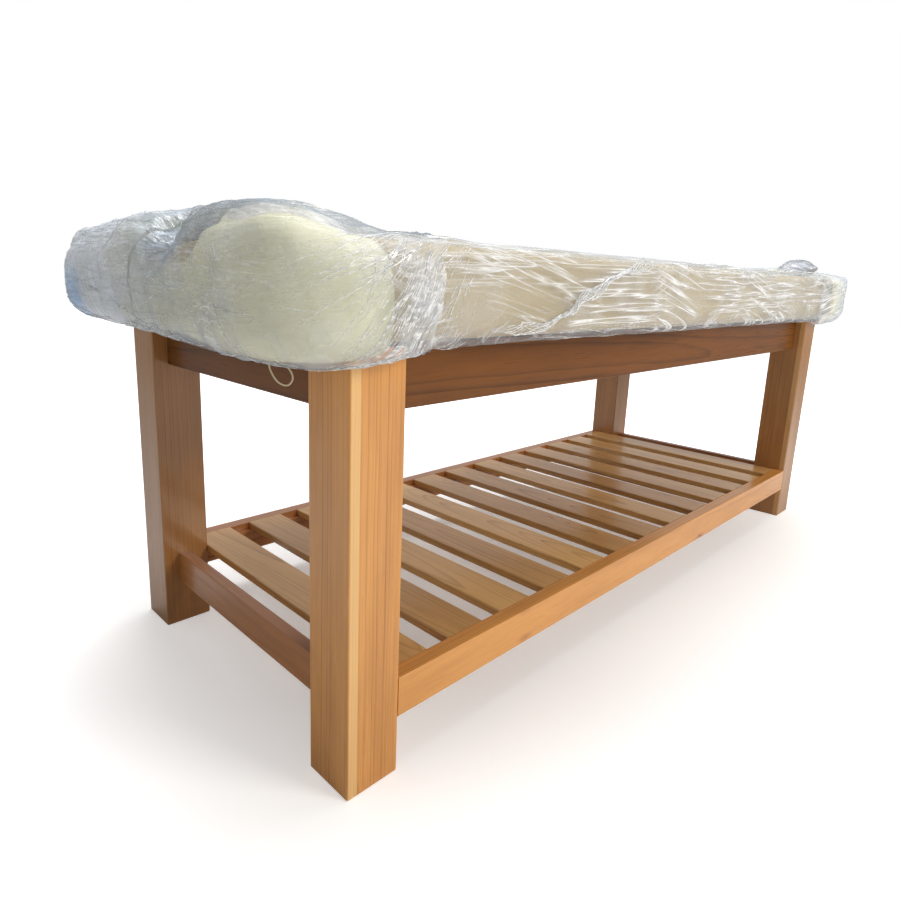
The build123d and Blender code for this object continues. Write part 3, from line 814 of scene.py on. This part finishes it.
def make_streak_group():
    """Thin wavering lines along the first coordinate."""
    web, get, result = new_group(
        "film_streaks",
        {"Vector": VECTOR, "Along": 6.0, "Across": 70.0, "Thinness": 14.0, "Patchiness": 0.5},
        {"Mask": FLOAT, "Relief": FLOAT},
    )
    parts = web.split(get["Vector"])
    place = web.join(*(web.times(part, get[scale]) for part, scale in zip(parts, ("Along", "Across", "Across"))))
    value = web.noise(place, 1.0, 2.0, 0.5, STREAK_DISTORTION)
    ridge = web.less(1.0, web.math("ABSOLUTE", web.less(value, 0.5)))
    line = web.math("POWER", ridge, web.times(get["Thinness"], STREAK_SHARPNESS))
    start = web.times(get["Patchiness"], PATCH_SHARE)
    where = web.ramp(web.noise(get["Vector"], PATCH_SCALE), start, web.plus(start, PATCH_EDGE))
    web.fill(result, {"Mask": web.times(line, where), "Relief": value})
    return web.tree


streak_group = make_streak_group()


def turned_place(look, place, along):
    """Coordinates turned so that the first runs along a direction."""
    first = Vector(along).normalized()
    second = Vector((0, 0, 1)).cross(first).normalized()
    return look.join(*(look.vector("DOT_PRODUCT", place, axis) for axis in (first, second, first.cross(second))))


def film_look(name, streaks, haze, edge_haze, line_alpha, tint=FILM_TINT, painted_reflections=(), laid_flat=True,
              rim_reflection=FILM_RIM_REFLECTION, gloss=0.8):
    """Clear stretch film, whose white lines are partly milky stretch lines and partly painted highlights.

    Streaks are (direction, along, across, thinness, patchiness), and painted reflections (place, size, extra
    cover, colour).
    """
    look = Look(name)
    sheet = look.place
    if laid_flat:
        sheet = look.add("ShaderNodeAttribute", attribute_name="flat_place").outputs["Vector"]
    lines, relief = 0.0, 0.0
    for along, length_scale, width_scale, thinness, patchiness in streaks:
        streak = look.add("ShaderNodeGroup", {
            "Vector": turned_place(look, sheet, along), "Along": length_scale, "Across": width_scale,
            "Thinness": thinness, "Patchiness": patchiness,
        }, node_tree=streak_group).outputs
        lines = look.math("MAXIMUM", streak["Mask"], lines)
        relief = look.plus(streak["Relief"], relief)
    cloud = look.noise(look.place, CLOUD_SCALE, 3.0, 0.6)
    facing = look.add("ShaderNodeLayerWeight", {"Blend": FACING_BLEND}).outputs["Facing"]
    veil = look.plus(look.times(look.ramp(cloud, *CLOUD_RANGE), haze),
                     look.times(look.math("POWER", facing, 2.0), edge_haze))
    alpha = look.plus(look.plus(veil, haze * EVEN_HAZE), look.times(lines, line_alpha), clamp=True)
    # Painted reflection: the rim colour takes over where the film is seen edge-on.
    shade = look.blend(look.ramp(facing, *RIM_REFLECTION_RANGE), look.blend(cloud, tint, FILM_CLOUD), rim_reflection)
    # Painted reflections: colour and extra cover blended in round fixed places.
    for reflection_place, size, cover, reflection_colour in painted_reflections:
        near = look.ramp(look.vector("DISTANCE", look.place, reflection_place), size, size * PAINTED_REFLECTION_CORE)
        alpha = look.plus(alpha, look.times(near, cover), clamp=True)
        shade = look.blend(near, shade, reflection_colour)
    # White where the lines run: partly the film's milky stretch lines, partly painted highlights.
    return look.finish({
        "Alpha": alpha, "Base Color": look.blend(lines, shade, WHITE), "Specular IOR Level": gloss,
        "Roughness": look.ramp(cloud, *MIDDLE_OF_NOISE, *FILM_ROUGHNESS),
    }, relief, *FILM_BUMP)


# Painted reflections on the head hood: a pale bluish haze at the far end, a darker reflection over the face notch
# and a blue patch at the far corner.
HEAD_PAINTED_REFLECTIONS = (
    ((-1.02, 0.30, 0.70), 0.45, 0.30, (0.80, 0.87, 0.97, 1.0)),
    ((-0.97, -0.05, 0.79), 0.14, 0.30, (0.42, 0.49, 0.58, 1.0)),
    ((-1.02, 0.27, 0.65), 0.08, 0.12, (0.42, 0.62, 0.92, 1.0)),
)
# The first two colours are painted rim reflections of the head hood and the bunch, where they are seen edge-on.
HEAD_RIM_REFLECTION, BUNCH_RIM_REFLECTION, BUNCH_TINT = (0.26, 0.33, 0.42, 1.0), (0.10, 0.12, 0.18, 1.0), (0.07, 0.09, 0.14, 1.0)

head_film_look = film_look(
    "head_film",
    [((1.0, 0.04, 0.0), 3.0, 130.0, 16.0, 0.60), ((1.0, -0.14, 0.0), 3.5, 110.0, 17.0, 0.66),
     ((0.45, 0.9, 0.0), 6.0, 90.0, 18.0, 0.70)],
    0.24, 0.8, 0.50, painted_reflections=HEAD_PAINTED_REFLECTIONS, rim_reflection=HEAD_RIM_REFLECTION, gloss=0.3,
)
body_film_look = film_look(
    "body_film",
    [((1.0, 0.02, 0.0), 3.5, 85.0, 13.0, 0.50), ((0.97, -0.24, 0.0), 4.0, 75.0, 14.0, 0.56),
     ((0.90, 0.42, 0.0), 7.0, 80.0, 15.0, 0.70)],
    0.14, 0.6, 0.78,
)
foot_film_look = film_look(
    "foot_film",
    [((0.30, -0.95, 0.0), 8.0, 80.0, 15.0, 0.6), ((1.0, 0.1, 0.0), 6.0, 70.0, 16.0, 0.60)],
    0.22, 0.6, 0.85,
)
# The white of the creases and the rope is partly milky creased film and partly painted highlight.
crease_look = film_look(
    "film_crease", [((1.0, 0.3, 0.2), 30.0, 90.0, 6.0, 0.3)], 0.35, 0.2, 0.9, tint=WHITE, laid_flat=False,
)
bunch_look = film_look(
    "film_bunch", [((0.9, 0.4, 0.0), 20.0, 120.0, 12.0, 0.4)], 0.70, 0.4, 0.4,
    tint=BUNCH_TINT, laid_flat=False, rim_reflection=BUNCH_RIM_REFLECTION, gloss=0.4,
)

SLEEVE_SIDE, SLEEVE_BOTTOM, SLEEVE_TUCK = 0.3805, 0.6175, 0.09
SLEEVE_FOOT, SLEEVE_HEAD, SLEEVE_FADE = 0.72, -0.64, 0.08
WAIST_START, WAIST_END, WAIST_LEAN, WAIST_HEIGHT = -0.885, -0.778, 0.15, 0.76
WAIST_TURN, WAIST_AROUND, WAIST_MIDDLE = 1.05, 0.5435, 0.69
TURN_ALONG, TURN_TOP, TURN_FADE = -0.895, 0.83, 0.05
DEPTH_SHARE = 0.2
TINY = 1e-5


def flat_places(places, end):
    """Places on the film laid out flat: round the bed from the end's middle, and up its side and over the top."""
    x, y, z = places.T
    sides = np.abs(y)
    if end == 0:
        inward = np.maximum(SLEEVE_SIDE - sides, 0)
        return np.stack([x, z + inward, DEPTH_SHARE * y], axis=1)
    away = x * end
    turning = HEAD_ROUNDS[0]
    corner, straight = -HEAD_FRONT - turning, HEAD_SIDE - turning
    to_side, to_end = np.maximum(sides - straight, 0), np.maximum(away - corner, 0)
    turned = np.arctan2(to_side + TINY, to_end + TINY)
    off_corner = turning - np.hypot(to_side, to_end) + np.maximum(np.minimum(straight - sides, corner - away), 0)
    inward = np.maximum(off_corner, 0)
    at_side = np.clip(1 - inward / turning, 0, 1)
    around = np.minimum(sides, straight) + at_side * (turning * turned + np.maximum(corner - away, 0))
    return np.stack([np.sign(y) * around, z + inward, DEPTH_SHARE * y], axis=1)


def keep_places(piece, end):
    """Keeps the smooth form's flat places for the film's streaks, turned along the folds of the head's waist."""
    places = points_of(piece)
    flat = flat_places(places, end)
    laid = flat.copy()
    if end < 0:
        side = np.where(places[:, 1] < 0, -1.0, 1.0)
        at_waist = rise(places[:, 0], TURN_ALONG, TURN_FADE) * rise(-flat[:, 1], -TURN_TOP, TURN_FADE)
        angle = -side * WAIST_TURN * at_waist
        across, up = flat[:, 0] - side * WAIST_AROUND, flat[:, 1] - WAIST_MIDDLE
        laid[:, 0] = np.cos(angle) * across - np.sin(angle) * up
        laid[:, 1] = np.sin(angle) * across + np.cos(angle) * up
    kept = piece.data.attributes.new("flat_place", "FLOAT_VECTOR", "POINT")
    kept.data.foreach_set("vector", laid.astype(np.float32).ravel())
    return flat


def drawn_to_waist(places):
    """Draws the head hood in to the sleeve's size at its waist."""
    x, y, z = places.T
    share = eased(rise(x, WAIST_START, WAIST_END - WAIST_START))
    narrow = np.minimum(np.abs(y), SLEEVE_SIDE)
    places[:, 1] = np.sign(y) * (np.abs(y) * (1 - share) + narrow * share)
    places[:, 2] = z * (1 - share) + np.maximum(z, SLEEVE_BOTTOM) * share
    return places


def tucked_ends(piece):
    """Lengthens the sleeve a little so that its ends lie under both hoods."""
    places = points_of(piece)
    x = places[:, 0]
    places[:, 0] += SLEEVE_TUCK * (rise(x, SLEEVE_FOOT, SLEEVE_FADE) - rise(-x, -SLEEVE_HEAD, SLEEVE_FADE))
    move_points(piece, places)


def ridged(flat, rows):
    """Sum of ridges; a row is (height, direction, length, width, seed, sharpness)."""
    return sum(height * ridges(flat, *row) for height, *row in rows)


HEAD_VOXEL, BODY_VOXEL, FOOT_VOXEL = 0.0068, 0.0095, 0.0075
END_FACING, END_DEPTH = 0.8, 0.004
HEAD_LINES = ((0.0030, (1.0, -0.10, 0.0), 0.40, 0.030, 12, 2.5), (0.0024, (0.6, 0.8, 0.0), 0.30, 0.030, 13, 2.5))
HEAD_FOLDS = [(0.006, (0.50, -0.86, 0.0), 0.35, 0.020, 11, 1.6)]
BODY_LINES = ((0.0024, (1.0, 0.0, 0.0), 0.50, 0.026, 21, 3.0), (0.0022, (0.97, -0.24, 0.0), 0.40, 0.040, 22, 4.0))
BODY_FOLDS = [(0.005, (-0.50, -0.86, 0.0), 0.30, 0.024, 23, 2.0)]
FOOT_LINES = [(0.0025, (1.0, 0.1, 0.0), 0.30, 0.030, 32, 3.0)]
FOOT_FOLDS = [(0.006, (0.25, -0.96, 0.0), 0.25, 0.022, 31, 2.5)]
# Side that the folds go on to along X, their start on that side, and the length of the change
HEAD_FOLDS_AT, BODY_FOLDS_AT, FOOT_FOLDS_AT = (1, -0.87, 0.05), (-1, 0.68, 0.08), (-1, -0.90, 0.08)
HOOD_SINK, FOLD_SINK, BODY_LIFT = 0.001, 0.0024, 0.0008
GATHER_PLACE, GATHER_SIZE, GATHER_UPPER, GATHER_DEPTH = -0.96, (0.060, 0.12), (0.68, 0.05), 0.016
CRUMPLE_SIZES, FINE_CRUMPLE = (0.022, 0.011), 0.6
NOTCH_DEPTH = 0.050


def notch_gathers(places):
    """Lift of the crumpled film in and round the face notch."""
    x, y, z = places.T
    coarse, fine = (value_noise(places / size, seed) - 0.5 for size, seed in zip(CRUMPLE_SIZES, (5, 6)))
    where = bell(y, NOTCH_MIDDLE, GATHER_SIZE[1]) * bell(x, GATHER_PLACE, GATHER_SIZE[0]) * rise(z, *GATHER_UPPER)
    return GATHER_DEPTH * where * (coarse + FINE_CRUMPLE * fine)


def finish_film(piece, node, look, end, lines, folds, folds_at, fold_sink, lift):
    """Raises a film's lines, folds and gathers from its smooth form, and dresses it."""
    flat = keep_places(piece, end)
    places = points_of(piece)
    side, start, length = folds_at
    folded = rise(side * places[:, 0], start, length)
    height = ridged(flat, lines) + folded * (ridged(flat, folds) - fold_sink)
    if end < 0:
        height = height + notch_gathers(places)
    raised(piece, height + lift)
    dress(piece, look, "stretch_film", node)


head_film = soft_form("head_film", "film_head", HEAD_VOXEL, 22)
move_points(head_film, drawn_to_waist(notch_dent(settled_head(points_of(head_film), 0.0, 0.0), NOTCH_DEPTH)))
relaxed(head_film, 3)
drop_faces(head_film, lambda middle, out: middle.x > WAIST_END + WAIST_LEAN * (middle.z - WAIST_HEIGHT))
drop_faces(head_film, over_frame)
finish_film(head_film, "film_head", head_film_look, -1, HEAD_LINES, HEAD_FOLDS, HEAD_FOLDS_AT, FOLD_SINK,
            -HOOD_SINK)

body_film = soft_form("body_film", "film_body", BODY_VOXEL, 2)
drop_faces(body_film, lambda middle, out: abs(out.x) > END_FACING)
tucked_ends(body_film)
finish_film(body_film, "film_body", body_film_look, 0, BODY_LINES, BODY_FOLDS, BODY_FOLDS_AT, 0.0, BODY_LIFT)

foot_film = soft_form("foot_film", "film_foot", FOOT_VOXEL, 3)
drop_faces(foot_film, lambda middle, out: middle.x < foot_low.x + END_DEPTH and out.x < -END_FACING)
move_points(foot_film, settled_foot(points_of(foot_film), 0.0))
drop_faces(foot_film, over_frame)
finish_film(foot_film, "film_foot", foot_film_look, 1, FOOT_LINES, FOOT_FOLDS, FOOT_FOLDS_AT, 0.0, -HOOD_SINK)


# Creases: fine raised lines that follow the film, drawn as wires and given their roundness by Geometry Nodes

def make_crease_tree():
    """Turns wires into thin tubes whose radius comes from the attribute width."""
    tree = bpy.data.node_groups.new("crease_tubes", "GeometryNodeTree")
    keys = {}
    for label, kind in {"Wires": "Geometry", "Thickness": "Float", "Sides": "Int", "Material": "Material"}.items():
        socket = tree.interface.new_socket(name=label, in_out="INPUT", socket_type="NodeSocket" + kind)
        keys[label] = socket.identifier
    tree.interface.new_socket(name="Tubes", in_out="OUTPUT", socket_type="NodeSocketGeometry")
    get, result = tree.nodes.new("NodeGroupInput").outputs, tree.nodes.new("NodeGroupOutput")
    web = Web(tree)
    width = web.add("GeometryNodeInputNamedAttribute", {"Name": "width"}, data_type="FLOAT").outputs["Attribute"]
    curve = web.add("GeometryNodeMeshToCurve", {"Mesh": get["Wires"]}).outputs[0]
    ring = web.add("GeometryNodeCurvePrimitiveCircle", {"Resolution": get["Sides"], "Radius": 1.0}).outputs[0]
    tube = web.add("GeometryNodeCurveToMesh", {
        "Curve": curve, "Profile Curve": ring, "Scale": web.times(width, get["Thickness"]), "Fill Caps": True})
    real = web.add("GeometryNodeRealizeInstances", {"Geometry": tube.outputs[0]}).outputs[0]
    coated = web.add("GeometryNodeSetMaterial", {"Geometry": real, "Material": get["Material"]})
    web.fill(result, {"Tubes": coated.outputs[0]})
    return tree, keys


crease_tree, crease_keys = make_crease_tree()

STRIDE, STRIDE_GAP, WOBBLE, SKIN_LIFT = 0.007, 0.6, 0.03, 0.0007
SMOOTHINGS, FEWEST_POINTS = 4, 4
CREASE_LENGTHS, CREASE_BOLDNESS, END_WIDTH, WIDTH_POWER = (0.4, 1.3), (0.45, 1.25), 0.15, 0.7
WAIST_FALL, SIDE_FALL = (-0.50, -0.05, -0.86), (0.93, 0.0, -0.36)
HOOD_CREASE, SLEEVE_CREASE = 0.00055, 0.0005


def surface_of(piece):
    """Search tree over a piece's mesh."""
    return BVHTree.FromPolygons([vertex.co for vertex in piece.data.vertices],
                                [tuple(face.vertices) for face in piece.data.polygons])


def walk(surface, start, along, steps, curl):
    """Points of a line that follows a surface from a start along a direction."""
    place, out, _, _ = surface.find_nearest(start)
    heading = Vector(along)
    line = []
    for _ in range(steps):
        heading = heading - out * heading.dot(out)
        if heading.length < 1e-4:
            break
        heading.normalize()
        heading.rotate(Matrix.Rotation(curl + rng.normal(0, WOBBLE), 3, out))
        place, out, _, gap = surface.find_nearest(place + heading * STRIDE)
        line.append(place)
        if gap > STRIDE * STRIDE_GAP:
            break
    for _ in range(SMOOTHINGS):
        line[1:-1] = [(before + place * 2 + after) / 4 for before, place, after in zip(line, line[1:], line[2:])]
    found = [surface.find_nearest(place) for place in line]
    return [place + out * SKIN_LIFT for place, out, _, _ in found]


def crease_lines(surface, sets):
    """Walks for each (low, high, count, direction, spread, steps, curl), started inside its box."""
    lines = []
    for low, high, count, along, spread, steps, curl in sets:
        for _ in range(count):
            start = Vector(rng.uniform(low, high))
            tilt = Vector(rng.normal(0, spread, 3))
            length = int(steps * rng.uniform(*CREASE_LENGTHS))
            line = walk(surface, start, Vector(along) + tilt, length, rng.normal(0, curl))
            if len(line) > FEWEST_POINTS:
                lines.append(line)
    return lines


def crease_piece(name, lines, thickness, sides=5):
    """One piece from many lines, thinning towards both ends."""
    verts, edges, widths = [], [], []
    for line in lines:
        base, count = len(verts), len(line)
        boldness = rng.uniform(*CREASE_BOLDNESS)
        for index, place in enumerate(line):
            verts.append(place)
            fullness = math.sin(math.pi * (index + 0.5) / count) ** WIDTH_POWER
            widths.append(boldness * (END_WIDTH + (1 - END_WIDTH) * fullness))
        edges.extend((base + index, base + index + 1) for index in range(count - 1))
    piece = new_piece(name)
    piece.data.from_pydata(verts, edges, [])
    piece.data.attributes.new("width", "FLOAT", "POINT").data.foreach_set("value", widths)
    modifier = piece.modifiers.new("tubes", "NODES")
    modifier.node_group = crease_tree
    for label, value in {"Thickness": thickness, "Sides": sides, "Material": crease_look}.items():
        modifier[crease_keys[label]] = value
    dress(baked(piece), crease_look, "stretch_film")


rng = np.random.default_rng(41)
head_surface, body_surface, foot_surface = (surface_of(piece) for piece in (head_film, body_film, foot_film))

crease_piece("head_creases", crease_lines(head_surface, (
    ((-1.03, -0.36, 0.61), (-1.00, 0.38, 0.70), 90, (0.05, 1.0, -0.03), 0.05, 22, 0.006),
    (head_low, head_high, 45, (0.1, 1.0, -0.1), 0.12, 18, 0.012),
    (head_low, head_high, 60, (0.7, -0.3, -0.6), 0.25, 14, 0.02),
    (head_low, head_high, 25, (-0.2, 0.2, -0.95), 0.20, 9, 0.02),
    ((-0.86, -0.42, 0.66), (-0.77, -0.36, 0.78), 130, WAIST_FALL, 0.015, 24, 0.002),
    ((-0.86, 0.36, 0.66), (-0.77, 0.42, 0.78), 90, WAIST_FALL, 0.035, 24, 0.004),
    ((-1.00, -0.10, 0.72), (-0.89, 0.12, 0.82), 60, (0.6, 0.5, -0.6), 0.6, 6, 0.12),
)), HOOD_CREASE)
crease_piece("body_creases", crease_lines(body_surface, (
    (body_low, body_high, 230, (1.0, 0.0, 0.0), 0.05, 16, 0.008),
    (body_low, body_high, 90, SIDE_FALL, 0.08, 14, 0.01),
    (body_low, body_high, 50, (0.9, 0.1, 0.4), 0.10, 9, 0.02),
    ((body_low.x, -0.39, 0.622), (body_high.x, -0.37, 0.640), 60, (1.0, 0.0, 0.0), 0.04, 20, 0.005),
    ((body_low.x, -0.39, 0.738), (body_high.x, -0.37, 0.756), 60, (1.0, 0.0, 0.0), 0.04, 20, 0.005),
    ((-0.78, -0.39, 0.62), (-0.72, -0.37, 0.77), 40, WAIST_FALL, 0.08, 12, 0.01),
)), SLEEVE_CREASE)
crease_piece("foot_creases", crease_lines(foot_surface, (
    (foot_low, foot_high, 40, (0.2, 1.0, -0.1), 0.2, 12, 0.03),
    (foot_low, foot_high, 50, (0.25, 0.1, -0.96), 0.2, 9, 0.03),
    (foot_low, foot_high, 50, (1.0, 0.1, 0.1), 0.15, 10, 0.02),
)), HOOD_CREASE)


# Film rope across the near side, where the film was pulled into a twisted strand

ROPE_ROUTE = [(-0.250, 0.764), (-0.283, 0.756), (-0.372, 0.721), (-0.469, 0.682), (-0.513, 0.664),
              (-0.557, 0.643), (-0.637, 0.629), (-0.693, 0.627)]
ROPE_SIDE, ROPE_STEP = -0.41, 0.006
ROPE_STRANDS, ROPE_RADIUS, ROPE_TWIST, ROPE_WOBBLE, STRAND_RADIUS = 9, 0.0072, 0.24, 0.12, 0.0011
BULGE_SHARE, BULGE_SWING, BULGE_TURN = 0.8, 0.5, 0.23
STRAND_LIFT = 0.4


def twisted_strands(surface):
    """Lines that wind round the rope's route on a surface."""
    guide = [Vector((x, ROPE_SIDE, z)) for x, z in ROPE_ROUTE]
    fine = []
    for start, end in zip(guide, guide[1:]):
        steps = max(2, int((end - start).length / ROPE_STEP))
        fine.extend(start.lerp(end, index / steps) for index in range(steps))
    lines = []
    for strand in range(ROPE_STRANDS):
        phase, line = strand * math.tau / ROPE_STRANDS, []
        for index, place in enumerate(fine):
            found, out, _, _ = surface.find_nearest(place)
            ahead = (fine[min(index + 1, len(fine) - 1)] - fine[max(index - 1, 0)]).normalized()
            across = ahead.cross(out).normalized()
            angle = phase + index * ROPE_TWIST + rng.normal(0, ROPE_WOBBLE)
            bulge = ROPE_RADIUS * (BULGE_SHARE + BULGE_SWING * math.sin(index * BULGE_TURN))
            lift = (STRAND_LIFT + STRAND_LIFT * math.sin(angle)) * ROPE_RADIUS
            line.append(found + across * math.cos(angle) * bulge + out * lift)
        lines.append(line)
    return lines


crease_piece("film_rope", twisted_strands(body_surface), STRAND_RADIUS, sides=6)


# Gathered film end on top of the foot hood

BUNCH_PLACE, BUNCH_SIZE = np.array((0.93, -0.262, 0.779)), np.array((0.052, 0.060, 0.027))
BUNCH_FOLDS = [(0.14, (0.9, 0.4, 0.0), 3.0, 0.45, 61, 1.2)]
BUNCH_REACH, BUNCH_LUMPS, LUMP_SIZE, LUMP_SEED, BUNCH_TAPER = 0.86, 0.25, 0.6, 62, 0.45


def make_bunch():
    """Small crumpled gather with folds that run over its top."""
    piece = new_piece("film_bunch")
    with editing(piece) as form:
        bmesh.ops.create_icosphere(form, subdivisions=6, radius=1.0)
    unit = points_of(piece)
    lumps = value_noise(unit / LUMP_SIZE, LUMP_SEED) - 0.5
    reach = BUNCH_REACH + ridged(unit, BUNCH_FOLDS) + BUNCH_LUMPS * lumps
    unit[:, :2] *= (1 - BUNCH_TAPER * np.clip(unit[:, 2], 0, 1))[:, None]
    return move_points(piece, BUNCH_PLACE + unit * reach[:, None] * BUNCH_SIZE)


dress(make_bunch(), bunch_look, "stretch_film")


# String loop: its route is in millimetres along the hood's edge and up from it

LOOP_DIAMETER = 0.0022
LOOP_ROUTE = [(0, 2.2), (0.5, -9), (5, -20), (12, -30), (24, -34), (31, -25), (28.5, -15), (20, -6), (12, 2.2)]
loop_start = Vector((-0.95, -0.245, 0.602))
loop_across = Vector((0.7163, -0.6978, 0)).normalized()


def string_look():
    """Cream twisted string."""
    look = Look("cream_string")
    links = {"Vector": look.place, "Scale": 260.0, "Distortion": 1.2}
    twist = look.add("ShaderNodeTexWave", links).outputs["Fac"]
    fuzz = look.noise(look.place, 1800.0, 2.0, 0.6)
    shade = look.blend(look.times(twist, 0.6), colour(226, 214, 182), colour(186, 168, 128))
    return look.finish({
        "Base Color": look.blend(look.times(fuzz, 0.3), shade, colour(240, 232, 208)),
        "Roughness": look.ramp(fuzz, *MIDDLE_OF_NOISE, 0.7, 0.9),
    }, twist, 0.6, 0.0003)


def make_loop():
    """The string as a smooth curve of its real thickness."""
    data = bpy.data.curves.new("tie_string", "CURVE")
    data.dimensions = "3D"
    spline = data.splines.new("NURBS")
    spline.points.add(len(LOOP_ROUTE) - 1)
    for point, (along, up) in zip(spline.points, LOOP_ROUTE):
        place = loop_start + loop_across * along / 1000 + Vector((0, 0, up / 1000))
        point.co = (*place, 1)
    spline.order_u = 3
    spline.use_endpoint_u = True
    spline.resolution_u = 10
    data.bevel_depth = LOOP_DIAMETER / 2
    data.bevel_resolution = 4
    data.use_fill_caps = True
    data.materials.append(string_look())
    piece = bpy.data.objects.new("tie_string", data)
    scene.collection.objects.link(piece)
    return piece


tie_string = make_loop()
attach(tie_string, "mattress")
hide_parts("tie_loop")


# Floor, surroundings and lamps

FLOOR_HALF = 14.0
FLOOR_COLOURS = ((0.86, 0.86, 0.86, 1.0), (0.84, 0.84, 0.845, 1.0))
FLOOR_GLOW = (0.55, 1.75, 0.26, 1.0)
WORLD_COLOUR, WORLD_STRENGTH, GLOSSY_WHITE = (1.0, 0.985, 0.96, 1.0), 0.24, 0.5

# Lamp: name, place, aim, size, power, tone
LAMPS = (
    ("key", (0.9, -3.6, 2.2), (0.1, 0, 0.45), 1.6, 92, (1.0, 0.97, 0.92)),
    ("top", (0.2, 0.4, 3.6), (0, 0, 0.6), 2.4, 112, WHITE[:3]),
    ("left", (-3.6, 0.9, 1.9), (-0.4, 0, 0.5), 1.2, 4, (0.90, 0.95, 1.0)),
    ("glint", (-2.4, -3.0, 1.7), (-0.7, -0.2, 0.7), 0.35, 4, WHITE[:3]),
)


def floor_look():
    """White floor that keeps the shadow and goes to the background's white."""
    look = Look("pale_floor")
    rays = look.add("ShaderNodeLightPath").outputs
    seen = look.math("MAXIMUM", rays["Is Camera Ray"], rays["Is Transmission Ray"])
    glow = look.ramp(look.vector("LENGTH", look.place), *FLOOR_GLOW)
    return look.finish({
        "Base Color": look.blend(look.noise(look.place, 60.0), *FLOOR_COLOURS), "Roughness": 0.7,
        "Specular IOR Level": 0.15, "Emission Color": WHITE, "Emission Strength": look.times(seen, glow),
    })


def make_floor():
    """Plain square floor."""
    floor = new_piece("floor")
    corners = [(x * FLOOR_HALF, y * FLOOR_HALF, 0) for x, y in ((-1, -1), (1, -1), (1, 1), (-1, 1))]
    floor.data.from_pydata(corners, [], [(0, 1, 2, 3)])
    floor.data.materials.append(floor_look())


def make_world():
    """Soft white surroundings, plain white where the camera sees them."""
    world = bpy.data.worlds.new("studio")
    world.use_nodes = True
    web = Web(world.node_tree)
    surround = world.node_tree.nodes["Background"]
    web.fill(surround, {"Color": WORLD_COLOUR, "Strength": WORLD_STRENGTH})
    white = web.add("ShaderNodeBackground", {"Color": WHITE, "Strength": 1.0})
    rays = web.add("ShaderNodeLightPath").outputs
    seen = web.math("MAXIMUM", rays["Is Camera Ray"], web.times(rays["Is Glossy Ray"], GLOSSY_WHITE))
    seen = web.math("MAXIMUM", seen, rays["Is Transmission Ray"])
    mixed = web.add("ShaderNodeMixShader", (seen, surround.outputs[0], white.outputs[0]))
    web.fill(world.node_tree.nodes["World Output"], {"Surface": mixed.outputs[0]})
    scene.world = world


def lamp(name, place, aim, size, power, tone):
    """Square area lamp aimed at a point."""
    data = bpy.data.lights.new(name, "AREA")
    data.shape = "SQUARE"
    data.size = size
    data.energy = power
    data.color = tone
    piece = bpy.data.objects.new(name, data)
    turn = (Vector(aim) - Vector(place)).to_track_quat("-Z", "Y").to_matrix().to_4x4()
    piece.matrix_world = Matrix.Translation(place) @ turn
    scene.collection.objects.link(piece)


make_floor()
make_world()
for settings in LAMPS:
    lamp(*settings)

scene.view_settings.view_transform = "Standard"
